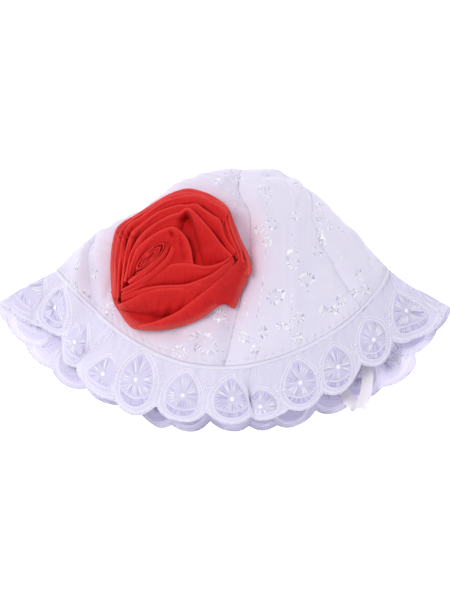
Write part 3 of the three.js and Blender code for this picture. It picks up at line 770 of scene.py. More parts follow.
def motif_stitches(size, leaf, numbers):
    """Stitches of one motif, as pairs of ends in millimetres round its centre."""
    if not leaf:
        turns = np.arange(BURST_STITCHES) / BURST_STITCHES * math.tau
        turns = turns + numbers.uniform(-0.08, 0.08, BURST_STITCHES)
        inner = size * numbers.uniform(0.22, 0.34, BURST_STITCHES)
        outer = size * numbers.uniform(0.72, 1.08, BURST_STITCHES)
        ways = np.stack([np.cos(turns), np.sin(turns)], 1)
        return ways * inner[:, None], ways * outer[:, None]
    turns = (np.arange(LEAF_STITCHES) + 0.5) / LEAF_STITCHES * math.tau
    oval = np.stack([np.cos(turns) * size * 1.15, np.sin(turns) * size * 0.62], 1)
    ways = unit(np.stack([np.cos(turns) + 0.5, np.sin(turns) * 1.5], 1))
    return oval * 0.6, oval * 0.6 + ways * size * numbers.uniform(0.36, 0.52, (LEAF_STITCHES, 1))


def sew_motif(rows, numbers, centre, normal, size, leaf, turn=0):
    up = Vector((0, 1, 0)) - normal * normal.y
    up.normalize()
    side = up.cross(normal)
    a = math.radians(turn)
    along_way = side * math.cos(a) + up * math.sin(a)
    across_way = up * math.cos(a) - side * math.sin(a)
    for pair in zip(*motif_stitches(size * 1.15, leaf, numbers)):
        spots = [centre + along_way * float(a) + across_way * float(b) for a, b in pair]
        sew_down(rows, *spots, MOTIF_THREAD)
    add_stitch(rows, centre - along_way * 0.7, centre + along_way * 0.7, normal, 1.0)


def sew_stem(places, rows):
    """A dashed line of stitches through places on the crown."""
    spots = np.array([tuple(p) for p in places])
    lengths = run_length(spots)
    for d in np.arange(0, lengths[-1] - DASH, DASH + DASH_GAP):
        ends = [[np.interp(s, lengths, spots[:, k]) for k in range(3)] for s in (d, d + DASH)]
        sew_down(rows, *ends, STEM_THREAD)

# %% All-over embroidery
HIDDEN_SPRIGS = 46
HIDDEN_SIZE = 4.2


def embroidery():
    numbers = np.random.default_rng(23)
    rows = []
    for motifs in (BURSTS, LEAVES):
        for x, y, size, *turn in zip(*motifs.values()):
            centre, normal = seen_on_crown(x, y)
            if centre:
                sew_motif(rows, numbers, centre, normal, size, motifs is LEAVES, *turn)
    t = np.linspace(0, 1, 16)
    weights = np.stack([(1 - t) * (1 - 2 * t), 4 * t * (1 - t), t * (2 * t - 1)], 1)
    for x0, y0, x1, y1, x2, y2 in zip(*STEMS.values()):
        places = [seen_on_crown(x, y)[0] for x, y in zip(weights @ [x0, x1, x2], weights @ [y0, y1, y2])]
        sew_stem([p for p in places if p], rows)
    print("stitches on the front:", len(rows))
    for _ in range(HIDDEN_SPRIGS):
        v = math.sqrt(numbers.uniform(0.08, 0.92))
        angle = math.radians(numbers.uniform(104, 256))
        point, normal, _ = crown(angle, v)
        place, facing, _, _ = crown_tree.find_nearest(Vector(point))
        leaf = bool(numbers.integers(2))
        sew_motif(rows, numbers, place, facing, HIDDEN_SIZE, leaf, numbers.uniform(0, 180))
    return rows


def stitched_piece(name, rows, thread, sides=6, rings=4):
    """A piece of stitches from the rows that add_stitch wrote."""
    centres, lies, faces, sizes = [np.array([row[k] for row in rows]) for k in range(4)]
    piece = sewn(name, centres, lies, faces, sizes, thread, sides, rings)
    rides(piece)
    return piece


embroidery_rows = embroidery()
crown_embroidery = stitched_piece("crown_embroidery", embroidery_rows, rayon)
print("stitches:", len(embroidery_rows), "triangles:", triangles(crown_embroidery))

# %% [markdown]
# ## The corded rim
# A cord in bias tape covers the seam between the gores and the lace, and one line of topstitch holds
# the turning above it. The cord could be a curve with a bevel, but a swept grid carries the cloth
# coordinates that its weave needs. It follows the crown's rule at v = 1.

# %% Piping
RIM_STATIONS = 360
HALF_GORE = 0.75          # half the thickness of a gore's solid


def beyond_rim(angle, distance, lowest):
    """Places on the rim, in the middle of the gore's thickness and a little beyond its edge."""
    point, normal, down = crown(angle, np.ones_like(angle))
    point = point - normal * HALF_GORE + down * np.asarray(distance)[..., None]
    point[..., 2] = np.maximum(point[..., 2], lowest)
    return point


# The cord under its tape, seen from its end: a is the way out towards the lace and h the height.
TAPE = table("a h", [
    [-1.2, 0.4], [-0.9, 0.72], [-0.5, 0.92], [0.0, 0.98], [0.5, 0.86], [0.9, 0.56], [1.3, 0.3],
    [1.15, 0.0], [0.9, -0.5], [0.0, -0.85], [-0.9, -0.55], [-1.15, 0.0],
])


def piping():
    """The cord all round the rim, a little ropy under its tape, and its length."""
    rim_angles = np.linspace(0, math.tau, RIM_STATIONS, endpoint=False)
    reach = np.full(RIM_STATIONS, PIPING + RIM_GAP)
    centres = beyond_rim(rim_angles, reach, PIPING)
    tangent = unit(np.roll(centres, -1, 0) - np.roll(centres, 1, 0))
    _, normal, _ = crown(rim_angles, 1.0)
    inwards = unit(np.cross(normal, tangent))
    up = np.cross(tangent, inwards)
    length = run_length(centres)
    ropy = 1 + 0.05 * np.sin(math.tau * length / 2.6)[:, None, None]
    skin = centres[:, None] - inwards[:, None] * TAPE["a"][:, None]
    skin = skin + up[:, None] * TAPE["h"][:, None] * ropy
    sides = len(TAPE["a"])
    across = np.append(0, np.cumsum(np.hypot(np.diff(TAPE["a"]), np.diff(TAPE["h"]))))
    across = np.append(across, across[-1] + 0.3)
    flat = np.stack(np.broadcast_arrays(length[:, None], across[None]), -1) * MM
    flat = np.concatenate([flat, flat[:1] + [[length[-1] * MM, 0]]])
    i, j = grid_quads(RIM_STATIONS, sides + 1, True)
    faces = (i % RIM_STATIONS) * sides + j % sides
    piece = new_object("rim_cord", skin.reshape(-1, 3), faces.tolist(), flat[i, j])
    piece.data.materials.append(bias_tape)
    stands_in(piece, "rim_piping")
    return piece, length[-1]


rim_cord, rim_length = piping()
print("rim, mm:", round(rim_length), "cord triangles:", triangles(rim_cord))

# %% Topstitch
TOPSTITCH = {"length": 2.3, "pitch": 3.0, "above": 2.4, "thread": 0.45}


def topstitch():
    """One line of stitches in the crown, a little above the cord."""
    count = int(rim_length / TOPSTITCH["pitch"])
    share = TOPSTITCH["length"] / TOPSTITCH["pitch"]
    v = 1 - TOPSTITCH["above"] / CROWN_LENGTH
    rows = []
    for angle in np.linspace(0, math.tau, count, endpoint=False):
        ends = [crown(angle + part * math.tau / count, v)[0] for part in (0, share)]
        sew_down(rows, *ends, TOPSTITCH["thread"])
    return rows


rim_topstitch = stitched_piece("rim_topstitch", topstitch(), beige_thread, 5, 3)
print("topstitch triangles:", triangles(rim_topstitch))

# %% [markdown]
# ## The lace ruffle as a surface
# The ruffle is one strip of scalloped net, gathered on to the rim. A cloth simulation would not fall
# into the same folds as the real one, so the strip is a rule again: each row of the table is the tip
# of a scallop, or a turn of the cloth where the ruffle folds over itself. U is the way along the strip
# and w the way out from the rim, both in millimetres, and every thread of the lace is placed by them.

# %% Edge of the ruffle
EDGE = table("angle x y z scallop tall", [
    [-90, -134.4, 2.6, 6.5, 2, 1],
    [-67, -102.6, -19.4, 10, 1, 1.02],
    [-49, -95.4, -35.6, 9, 2, 0.97],
    [-44, -85.0, -42.0, 8, 0, 1],
    [-41, -94.8, -35.2, 18, 0, 1],
    [-37, -74.8, -59.1, 19, 2, 0.88],
    [-27, -55.2, -70.5, 21, 1, 1.3],
    [-11, -28.2, -75.7, 23, 1, 1.12],
    [4, 4.8, -76.9, 25, 1, 1],
    [8, 18.0, -69.0, 25, 0, 1],
    [10, 11.0, -66.0, 17, 0, 1],
    [13, 20.4, -73.7, 17, 2, 0.85],
    [26, 45.6, -67.9, 22, 1, 1.08],
    [40, 67.8, -57.2, 18, 1, 1.03],
    [56, 91.2, -39.1, 15, 1, 0.96],
    [84, 114.6, -20.9, 10, 1, 1],
    [92, 134.7, -1.0, 7, 2, 1],
    [99, 133.6, -8.5, 2.5, 1, 1],
    [108, 117.0, -27.5, 2, 1, 1],
    [119, 95.0, -49.5, 2, 2, 1],
    [130, 79.0, -58.5, 2, 1, 1],
    [141, 61.6, -66.0, 2, 2, 1],
    [156, 37.0, -74.7, 2.5, 1, 1],
    [166, 22.8, -76.4, 3, 2, 1],
    [177, 6.5, -76.8, 2, 1, 1],
    [191, -20.5, -77.0, 2.5, 2, 1],
    [202, -38.0, -74.8, 2, 1, 1],
    [216, -59.0, -61.0, 2, 1, 1],
    [229, -92.0, -50.0, 2, 1, 1],
    [240, -107.0, -37.5, 3, 2, 1],
    [252, -121.0, -22.5, 2, 1, 1],
    [264, -133.0, -9.0, 2, 2, 1],
])
EDGE_ROWS = len(EDGE["x"])
print("rows along the ruffle's edge:", EDGE_ROWS)

# %% Lines from the rim to the edge
RUFFLE_START = 2 * PIPING + RIM_GAP + 0.1   # past the cord
RUFFLE_REACH = 0.45       # share of its width that it runs on from the rim before it bends
LOWEST_NET = 0.45
EDGE_LINE = 0.75          # share of the width at which the strip's length is measured
FINE_STEPS = 64           # places worked out for each row of the table


def edge_value(name, u):
    """Column of the edge table at a running row number, as a smooth closed line."""
    i = np.floor(u).astype(int)
    t = u - i
    return smooth_between(*[EDGE[name][(i + k) % EDGE_ROWS] for k in (-1, 0, 1, 2)], t)


def edge_angle(u):
    angles = np.append(EDGE["angle"], EDGE["angle"][0] + 360)
    return np.radians(np.interp(u % EDGE_ROWS, np.arange(EDGE_ROWS + 1), angles))


def worked_lines(u):
    """Start, knee and outer end of the line that the net follows at each place u."""
    angle = edge_angle(u)
    start = beyond_rim(angle, np.full_like(angle, RUFFLE_START), LOWEST_NET)
    end = np.stack([edge_value(name, u) for name in "xyz"], -1)
    span = end - start
    length = np.linalg.norm(span, axis=-1)
    reach = RUFFLE_REACH * np.abs(np.cos(angle)) ** 0.5
    _, _, down = crown(angle, 1.0)
    knee = start + span * (0.5 - reach / 2)[..., None] + down * (reach * length)[..., None]
    return start, knee, end


fine = np.linspace(0, EDGE_ROWS, EDGE_ROWS * FINE_STEPS + 1)
LINES = np.concatenate(worked_lines(fine), axis=-1)


def ruffle_lines(u):
    """The same three places, read from the lines worked out once."""
    at = [np.interp(u % EDGE_ROWS, fine, column) for column in LINES.T]
    return [np.stack(at[k:k + 3], -1) for k in (0, 3, 6)]


def bare_net(u, share):
    """Place on the net's plain line, at a share of the way from the rim to the edge."""
    start, knee, end = ruffle_lines(u)
    s = share[..., None]
    return start * (1 - s) ** 2 + knee * 2 * s * (1 - s) + end * s * s


STRIP = run_length(bare_net(fine, np.full_like(fine, EDGE_LINE)))
STRIP_LENGTH = STRIP[-1]
print("lace strip, mm:", STRIP_LENGTH.round())

# %% [markdown]
# ## Scallops
# One repeat of this lace is a medallion in a scallop. Where the strip is folded over itself and two
# tips of the table lie more than a repeat and a half apart, the medallion between them is hidden in
# the fold, and it is added here so that the pattern runs on. Each scallop then cuts the net's edge
# back to an arc. In the scallop column 1 is a medallion in front, 2 one that runs under its
# neighbour, so that its threads stop there, and 0 no scallop. Tall is how far the motif reaches
# outwards, as the net hangs steeper at some places than at others.

# %% Scallop places
ARC = 17.3                # radius of a scallop
DEEPEST_CUT = 9.0         # how far a cusp lies back from the tips
REPEAT = 31               # medallions are about this far apart
HIDDEN, IN_FRONT, BENEATH = 0, 1, 2


def scallop_places():
    """Each medallion's place along the strip, its kind and how tall it is."""
    rows = [i for i in range(EDGE_ROWS) if EDGE["scallop"][i]]
    tips = [float(np.interp(i, fine, STRIP)) for i in rows]
    places, kinds, tall = [], [], []
    for row, here, following in zip(rows, tips, tips[1:] + [tips[0] + STRIP_LENGTH]):
        parts = max(1, round((following - here) / REPEAT))
        places += [here + (following - here) * k / parts for k in range(parts)]
        kinds += [int(EDGE["scallop"][row])] + [HIDDEN] * (parts - 1)
        tall += [EDGE["tall"][row]] + [1] * (parts - 1)
    return np.array(places), np.array(kinds), np.array(tall)


SCALLOPS, KINDS, TALL = scallop_places()
APART = (SCALLOPS - np.roll(SCALLOPS, 1)) % STRIP_LENGTH
print("scallops:", len(SCALLOPS), "apart, mm:", APART.round().astype(int).tolist())

# %% Width of the net
SHARES = 16


def run_across():
    """Length of the net's line from the rim to each of the shares, at each fine place."""
    steps = [bare_net(fine, np.full_like(fine, k / SHARES)) for k in range(SHARES + 1)]
    gaps = [np.linalg.norm(b - a, axis=-1) for a, b in zip(steps, steps[1:])]
    return np.cumsum([np.zeros_like(fine)] + gaps, axis=0)


RUN = run_across()


def net_width(u):
    """Length of the net's line from the rim to its outer end."""
    return np.interp(u % EDGE_ROWS, fine, RUN[-1])


def net_share(u, w):
    """Share of the line at which the net is w millimetres out from the rim."""
    rows = np.stack([np.interp(u % EDGE_ROWS, fine, row) for row in RUN], -1)
    k = np.clip(np.sum(rows <= w[..., None], -1) - 1, 0, SHARES - 1)
    low = np.take_along_axis(rows, k[..., None], -1)[..., 0]
    high = np.take_along_axis(rows, k[..., None] + 1, -1)[..., 0]
    return (k + (w - low) / (high - low)) / SHARES


print("net width, mm:", RUN[-1].min().round(1), "to", RUN[-1].max().round(1))

# %% Frame of each motif
def motif_frames():
    """Where each motif's middle lies out from the rim, and how the net runs there.

    Across is the real distance to a millimetre of the strip, square to the way out, and shear the part
    of it that leads outwards.
    """
    u = np.interp(SCALLOPS, STRIP, fine)
    middle = net_width(u) - ARC * TALL
    beside = [np.interp((SCALLOPS + d) % STRIP_LENGTH, STRIP, fine) for d in (-1.0, 1.0)]
    back, ahead = [bare_net(place, net_share(place, middle)) for place in beside]
    inner, outer = [bare_net(u, net_share(u, middle + d)) for d in (-1.0, 1.0)]
    step = (ahead - back) / 2
    outward = unit(outer - inner)
    shear = np.sum(step * outward, axis=-1)
    across = np.linalg.norm(step - shear[:, None] * outward, axis=-1)
    return middle, np.clip(across, 0.5, 1.5), np.clip(shear, -0.8, 0.8)


MIDDLE, ACROSS, SHEAR = motif_frames()
print("real distance to a millimetre of strip:", ACROSS.min().round(2), "to", ACROSS.max().round(2))


def strip_away(strip, index):
    """Distance along the strip from a motif's middle, the short way round."""
    return (strip - SCALLOPS[index] + STRIP_LENGTH / 2) % STRIP_LENGTH - STRIP_LENGTH / 2


def motif_place(index, strip, w):
    """Place in a motif: a across and b outwards from its middle, in real millimetres."""
    away = strip_away(strip, index)
    return away * ACROSS[index], (w - MIDDLE[index] + away * SHEAR[index]) / TALL[index]


def scallop_to_strip(index, a, b):
    """A place of the motif, a across and b outwards from its middle, as strip and w."""
    away = a / ACROSS[index]
    return SCALLOPS[index] + away, MIDDLE[index] + b * TALL[index] - away * SHEAR[index]

# %% The cut edge
def candidates(strip):
    """The nearest scallop of each place and its two neighbours."""
    nearest = np.argmin(np.abs(strip_away(strip[..., None], np.arange(len(SCALLOPS)))), axis=-1)
    return [(nearest + k) % len(SCALLOPS) for k in (0, -1, 1)]


def in_motif(strip, w):
    """Place in the motif that each spot of the net belongs to. One in front wins over one beneath."""
    lead = 9              # millimetres by which it wins
    best = None
    for index in candidates(strip):
        a, b = motif_place(index, strip, w)
        r = np.hypot(a, b)
        score = r - np.where((KINDS[index] == IN_FRONT) & (r < ARC), lead, 0)
        if best is None:
            best = [score, a, b]
        else:
            nearer = score < best[0]
            best = [np.where(nearer, new, old) for new, old in zip((score, a, b), best)]
    return best[1], best[2]


def outer_edge(strip):
    """How far out the net reaches: the arcs of the scallops, and between them the cusps."""
    order = np.argsort(SCALLOPS)
    cusp = MIDDLE + (ARC - DEEPEST_CUT) * TALL
    edge = np.interp(strip, SCALLOPS[order], cusp[order], period=STRIP_LENGTH)
    for index in candidates(strip):
        away = strip_away(strip, index)
        a = away * ACROSS[index]
        arc = np.sqrt(np.maximum(ARC * ARC - a * a, 0)) * TALL[index]
        reach = MIDDLE[index] + arc - away * SHEAR[index]
        edge = np.where(np.abs(a) < ARC, np.maximum(edge, reach), edge)
    return edge


def hang_back(strip):
    """How near a place is to a cusp, from 0 at the middle of a scallop to 1."""
    index = candidates(strip)[0]
    a = strip_away(strip, index) * ACROSS[index]
    return np.minimum(1, (ARC - np.sqrt(np.maximum(ARC * ARC - a * a, 0))) / DEEPEST_CUT)


print("tips of the scallops, mm from the rim:", outer_edge(SCALLOPS).round().astype(int).tolist())

# %% Gathers and flutes
GATHERS = {"high": 0.4, "pitch": 7.3, "reach": 8}
FLUTES = 2.2              # how deep the net hangs back at a cusp
DOME = 0.9                # how far a medallion swells


def raised_net(strip, w):
    """Place of the net with its gathers, flutes and swelling medallions."""
    u = np.interp(strip % STRIP_LENGTH, STRIP, fine)
    share = net_share(u, w)
    point = bare_net(u, share)
    d = 0.02
    around = bare_net(u + d, share) - bare_net(u - d, share)
    outward = bare_net(u, share + 0.01) - bare_net(u, share - 0.01)
    normal = unit(np.cross(outward, around))
    aloft = smoothstep(point[..., 2], 2.5, 9.0)
    gathers = np.sin(math.tau * strip / GATHERS["pitch"] + 1.3 * np.sin(strip / 17))
    gathers = GATHERS["high"] * gathers * np.exp(-w / GATHERS["reach"])
    flutes = -FLUTES * aloft * hang_back(strip) * smoothstep(share, 0.1, 1.0)
    a, b = in_motif(strip, w)
    dome = DOME * np.exp(-(a * a + b * b) / 90)
    swell = 0.5 * aloft * soft_waves(np.stack([strip, w], -1), 4)
    return point + normal * ((0.35 + 0.65 * aloft) * gathers + flutes + dome + swell)[..., None]


def on_net(strip, w):
    """Place and normal of the net, w millimetres out from the rim."""
    strip, w = np.broadcast_arrays(np.asarray(strip, float), np.asarray(w, float))
    point = raised_net(strip, w)
    around = raised_net(strip + 0.4, w) - raised_net(strip - 0.4, w)
    outward = raised_net(strip, w + 0.4) - raised_net(strip, w - 0.4)
    normal = unit(np.cross(outward, around))
    point[..., 2] = np.maximum(point[..., 2], LOWEST_NET)
    return point, normal


print("middles of the medallions, mm above the floor:", on_net(SCALLOPS, MIDDLE)[0][:, 2].round().tolist())

# %% [markdown]
# ## Net
# The ground of the lace is a fine hexagon net, which lets the light and whatever lies behind it
# through. Its holes are about 1 mm. Each one as geometry would take millions of faces for something
# that the eye reads as a veil, so the net is a thin wall whose material is threads and holes, and it
# is denser where the medallions are filled with stitches.

# %% Net material
NET_HOLE = 1.15


def net_material():
    material, tree = new_material("nylon hexagon net, heat set")
    place = node(tree, "ShaderNodeUVMap", {"uv_map": "cloth"})
    cells = node(tree, "ShaderNodeTexVoronoi", {"feature": "DISTANCE_TO_EDGE"},
                 {"Vector": place, "Scale": 1 / (NET_HOLE * MM), "Randomness": 0.35})
    threads = node(tree, "ShaderNodeMapRange", {"interpolation_type": "SMOOTHSTEP"},
                   {"Value": cells.outputs["Distance"], "From Min": 0.08, "From Max": 0.3,
                    "To Min": 1.0, "To Max": 0.0})
    dense = node(tree, "ShaderNodeAttribute", {"attribute_name": "dense"})
    # At this distance threads and holes run together, so a hole stops 0.78 of the light, a thread 0.9.
    holes = node(tree, "ShaderNodeMath", {"operation": "MULTIPLY_ADD"},
                 {0: threads, 1: 0.12, 2: 0.78})
    cover = node(tree, "ShaderNodeMath", {"operation": "ADD", "use_clamp": True},
                 {0: holes, 1: dense.outputs["Fac"]})
    satin = node(tree, "ShaderNodeAttribute", {"attribute_name": "satin"})
    colour = node(tree, "ShaderNodeMix", {"data_type": "RGBA"},
                  {"Factor": satin.outputs["Fac"], 6: linear("#f3f0ff"), 7: linear("#d5cef4")})
    front = node(tree, "ShaderNodeBsdfPrincipled", None,
                 {"Base Color": colour.outputs[2], "Roughness": 0.6, "Sheen Weight": 0.2})
    behind = node(tree, "ShaderNodeBsdfTranslucent", None, {"Color": colour.outputs[2]})
    body = node(tree, "ShaderNodeMixShader", None,
                {0: 0.28, 1: front, 2: behind})
    clear = node(tree, "ShaderNodeBsdfTransparent")
    veil = node(tree, "ShaderNodeMixShader", None,
                {0: cover, 1: clear, 2: body})
    node(tree, "ShaderNodeOutputMaterial", None, {"Surface": veil})
    return material


net = net_material()
print("material:", net.name)

# %% Outline of a motif
# Radius of the motif's lines by their turn from straight outwards, in degrees. The satin crescent lies
# between the satin line and the middle one.
OUTLINES = table("turn satin middle outer", [
    [0, 8.6, 12.9, 15.7], [20, 8.8, 12.8, 15.7], [40, 9.5, 12.3, 15.4], [50, 10.3, 11.8, 15.1],
    [60, 11.2, 11.2, 14.6], [85, 10.3, 10.3, 12.9], [115, 10.0, 10.0, 12.1], [145, 10.6, 10.6, 12.4],
    [170, 12.2, 12.2, 13.9], [180, 13.3, 13.3, 15.0],
])
SATIN_TURN = 58           # how far round the satin crescent reaches, in degrees
print("widest place of the crescent, mm:", (OUTLINES["middle"] - OUTLINES["satin"]).max().round(1))


def motif_fill(strip, w):
    """How dense the net is sewn over, and where it is covered with satin stitch."""
    a, b = in_motif(strip, w)
    r = np.hypot(a, b)
    phi = np.degrees(np.arctan2(np.abs(a), b))
    inner = along(OUTLINES, "turn", phi, "satin")
    middle = along(OUTLINES, "turn", phi, "middle")
    medallion = smoothstep(middle - r, -0.8, 0.8)
    crescent = smoothstep(r - inner, 0.1, 0.7) * smoothstep(middle - r, 0, 0.7) * (phi < SATIN_TURN)
    in_front = KINDS[candidates(strip)[0]] == IN_FRONT
    crescent = crescent * np.where(in_front, 1.0, 0.35)
    crescent = np.maximum(crescent, 0.3 * medallion)
    dense = 0.4 * medallion + 0.3 * smoothstep(r, 14.6, 15.4) * (b > 0)
    return dense, crescent

# %% Net wall
NET_THICK = 0.5
NET_STEP = 1.25
NET_ROWS = 30


def lace_net():
    columns = int(STRIP_LENGTH / NET_STEP)
    strip, row = np.meshgrid(np.linspace(0, STRIP_LENGTH, columns, endpoint=False),
                             np.linspace(0, 1, NET_ROWS), indexing="ij")
    w = row * outer_edge(strip)
    point, normal = on_net(strip, w)
    flat = np.stack([strip, w], -1) * MM
    flat = np.concatenate([flat, flat[:1] + [STRIP_LENGTH * MM, 0]])
    outer = point + normal * NET_THICK / 2
    inner = point - normal * NET_THICK / 2
    piece = cloth_wall("lace_net", outer, inner, flat, wrap=True, sharp=80)
    dense, crescent = motif_fill(strip, w)
    # Painted light: the satin colour is faded low down, where the front of the ruffle shades the lace on the
    # floor.
    crescent = crescent * (0.3 + 0.7 * smoothstep(point[..., 2], 3.0, 9.0))
    store(piece, "dense", dense)
    store(piece, "satin", crescent)
    piece.data.materials.append(net)
    one_layer = sum(p.area for p in piece.data.polygons) / 2
    return piece, one_layer


lace_piece, net_area = lace_net()
stands_in(lace_piece, "lace_ruffle")
print("net, m2:", round(net_area, 4), "triangles:", triangles(lace_piece))

# %% [markdown]
# ## Threads of the lace
# A medallion is a knot with rays round it inside a pointed outline, a crescent of satin stitch below,
# and a scallop edge worked in buttonhole stitch. Sprays of small eyelets fill the spaces up towards
# the rim. Outlines are cord, the rest single stitches, and both lie on the net by the same rule.

# %% Where a motif's threads lie
EYELETS = table("across out halfWide halfHigh", [
    [0, -12.5, 1.3, 1.5], [-3.0, -10.4, 1.4, 1.2], [3.0, -10.4, 1.4, 1.2], [-1.5, -7.6, 1.2, 1.3],
    [1.6, -7.6, 1.2, 1.3], [0, -4.4, 1.0, 1.4],
])
CORD_RADIUS = 0.26
EYELET_RADIUS = 0.4
EYELETS_UP = 7.5          # from a cusp up to where the eyelets' table starts
THREAD_LIFT = 0.2         # height of a cord's middle over the net


def around_motif(index, turns, radii):
    """Place, upward normal and whether it shows, for points of a motif by their turn and radius."""
    strip, w = scallop_to_strip(index, radii * np.sin(turns), radii * np.cos(turns))
    shows = np.full(strip.shape, KINDS[index] != HIDDEN)
    for other in ((index - 1) % len(KINDS), (index + 1) % len(KINDS)):
        away = np.hypot(*motif_place(other, strip, w))
        if KINDS[index] == BENEATH and KINDS[other] == IN_FRONT:
            shows &= away > ARC
        elif KINDS[index] == KINDS[other]:
            shows &= radii < away + 0.3
    point, normal = on_net(strip, w)
    point[..., 2] = np.maximum(point[..., 2], LOWEST_NET + 0.6)
    return point, normal * np.where(normal[..., 2:] < 0, -1, 1), shows


print("motifs that show:", int(np.sum(KINDS != HIDDEN)), "of them beneath:", int(np.sum(KINDS == BENEATH)))

# %% Cords and eyelets
def runs_that_show(points, shows):
    """Cuts a path into the stretches whose points show."""
    cuts = np.flatnonzero(np.diff(shows.astype(int))) + 1
    parts = zip(np.split(points, cuts), np.split(shows, cuts))
    return [part for part, flags in parts if flags[0] and len(part) > 3]


def lace_cords():
    """The lines of every motif, and the cord along the cut edge."""
    paths = []
    whole = np.radians(np.linspace(-180, 180, 61))
    part = whole[np.abs(whole) <= math.radians(SATIN_TURN)]
    for index in range(len(SCALLOPS)):
        for name, turns in (("satin", part), ("middle", whole), ("outer", whole)):
            radii = along(OUTLINES, "turn", np.degrees(np.abs(turns)), name)
            point, normal, shows = around_motif(index, turns, radii)
            paths += runs_that_show(point + normal * THREAD_LIFT, shows)
    strip = np.linspace(0, STRIP_LENGTH, int(STRIP_LENGTH / 1.2))
    point, normal = on_net(strip, outer_edge(strip) - 0.1)
    point[-1] = point[0]
    paths.append(point)
    return paths


def eyelets():
    """A spray of small loops between the medallions, above each cusp."""
    paths = []
    loop = np.linspace(0, math.tau, 11)
    for index in range(len(SCALLOPS)):
        half = APART[(index + 1) % len(KINDS)] / 2
        if half < 10:     # too close for a spray
            continue
        strip_mid = SCALLOPS[index] + half
        cusp = float(outer_edge(np.array([strip_mid]))[0])
        for across, out, half_wide, half_high in zip(*EYELETS.values()):
            a = strip_mid + across + half_wide * np.cos(loop)
            w = cusp + out - EYELETS_UP + half_high * np.sin(loop)
            point, normal = on_net(a, np.maximum(w, 1.5))
            paths.append(point + normal * np.where(normal[:, 2:] < 0, -THREAD_LIFT, THREAD_LIFT))
    return paths


lace_eyelets = corded("lace_eyelets", eyelets(), EYELET_RADIUS, eyelet_thread, sides=4)
lace_cord = corded("lace_cords", lace_cords(), CORD_RADIUS, lace_cord_thread)
for piece in (lace_cord, lace_eyelets):
    rides(piece)
print("cord triangles:", triangles(lace_cord), triangles(lace_eyelets))

# %% Rays, satin stitch and buttonhole edge
RAYS = {"count": 28, "from": 2.2, "to": 11, "thread": 0.72}
BUTTONHOLE = {"count": 31, "turn": 54, "from": 16.3, "to": 17.1, "thread": 0.6}
SATIN = {"count": 30, "thread": 0.6, "lowest": 6.0}
KNOT = (2.8, 2.8, 1.5)


def ray_stitches():
    """Rays and buttonhole edge, as rows of turn, inner end, outer end and width."""
    turns = np.arange(RAYS["count"]) / RAYS["count"] * math.tau
    from_outwards = np.degrees(np.abs((turns + math.pi) % math.tau - math.pi))
    reach = np.minimum(along(OUTLINES, "turn", from_outwards, "satin") - 0.9, RAYS["to"])
    rays = [(t, RAYS["from"], r, RAYS["thread"]) for t, r in zip(turns, reach)]
    edge_turns = np.linspace(-BUTTONHOLE["turn"], BUTTONHOLE["turn"], BUTTONHOLE["count"])
    edge = [(math.radians(t), BUTTONHOLE["from"], BUTTONHOLE["to"], BUTTONHOLE["thread"]) for t in edge_turns]
    return np.array(rays + edge)


def satin_stitches():
    """The crescent between the satin line and the middle one, in the same rows."""
    turns = np.linspace(-SATIN_TURN, SATIN_TURN, SATIN["count"])
    inner = along(OUTLINES, "turn", np.abs(turns), "satin") + 0.2
    middle = along(OUTLINES, "turn", np.abs(turns), "middle") - 0.2
    width = np.full(len(turns), SATIN["thread"])
    return np.stack([np.radians(turns), inner, np.maximum(middle, inner + 0.5), width], 1)


def lay_in_motifs(parts, kinds=(IN_FRONT, BENEATH), lowest=0.0):
    """Lays stitches, given as turn, inner end, outer end and width, in every motif that shows."""
    centres, lies, faces, sizes = [], [], [], []
    for index in (i for i in range(len(SCALLOPS)) if KINDS[i] in kinds):
        start, normal, shows = around_motif(index, parts[:, 0], parts[:, 1])
        end, _, end_shows = around_motif(index, parts[:, 0], parts[:, 2])
        run = end - start
        length = np.linalg.norm(run, axis=1)
        keep = shows & end_shows & (length > 0.4) & (start[:, 2] > lowest)
        centres.append(((start + end) / 2 + normal * 0.3)[keep])
        lies.append(unit(run)[keep])
        faces.append(normal[keep])
        sizes.append(np.stack([length * 1.08, parts[:, 3], parts[:, 3] * 0.8], 1)[keep])
    return [np.concatenate(rows) for rows in (centres, lies, faces, sizes)]


def knots():
    """The raised knot in the middle of each motif, as one round stitch."""
    found = [around_motif(index, np.zeros(1), np.zeros(1)) for index in range(len(SCALLOPS))]
    seen = [(place[0] + normal[0] * 0.5, normal[0]) for place, normal, shows in found if shows[0]]
    centres, normals = [np.array(rows) for rows in zip(*seen)]
    lies = unit(np.cross(normals, [0.0, 1.0, 0.3]))
    return centres, lies, normals, np.tile(KNOT, (len(centres), 1))


crescents = lay_in_motifs(satin_stitches(), kinds=(IN_FRONT,), lowest=SATIN["lowest"])
lace_rays = sewn("lace_stitches", *lay_in_motifs(ray_stitches()), lace_thread, sides=5, seed=9)
lace_satin = sewn("lace_satin_crescents", *crescents, satin_thread, sides=5, seed=4)
lace_knots = sewn("lace_knots", *knots(), lace_cord_thread, sides=12, rings=8, seed=2)
for piece in (lace_rays, lace_satin, lace_knots):
    rides(piece)
print("stitch triangles:", triangles(lace_rays), triangles(lace_satin))

# %% [markdown]
# ## Chin ribbon
# The chin strap is one length of soft satin ribbon, 7 mm wide, sewn inside the rim at both sides. It
# lies across the mouth and shows only where it doubles back between the two halves of the ruffle. A
# bevelled curve would stay round, so the ribbon is a grid swept along its route, and a table gives the
# way that its width points at each place.

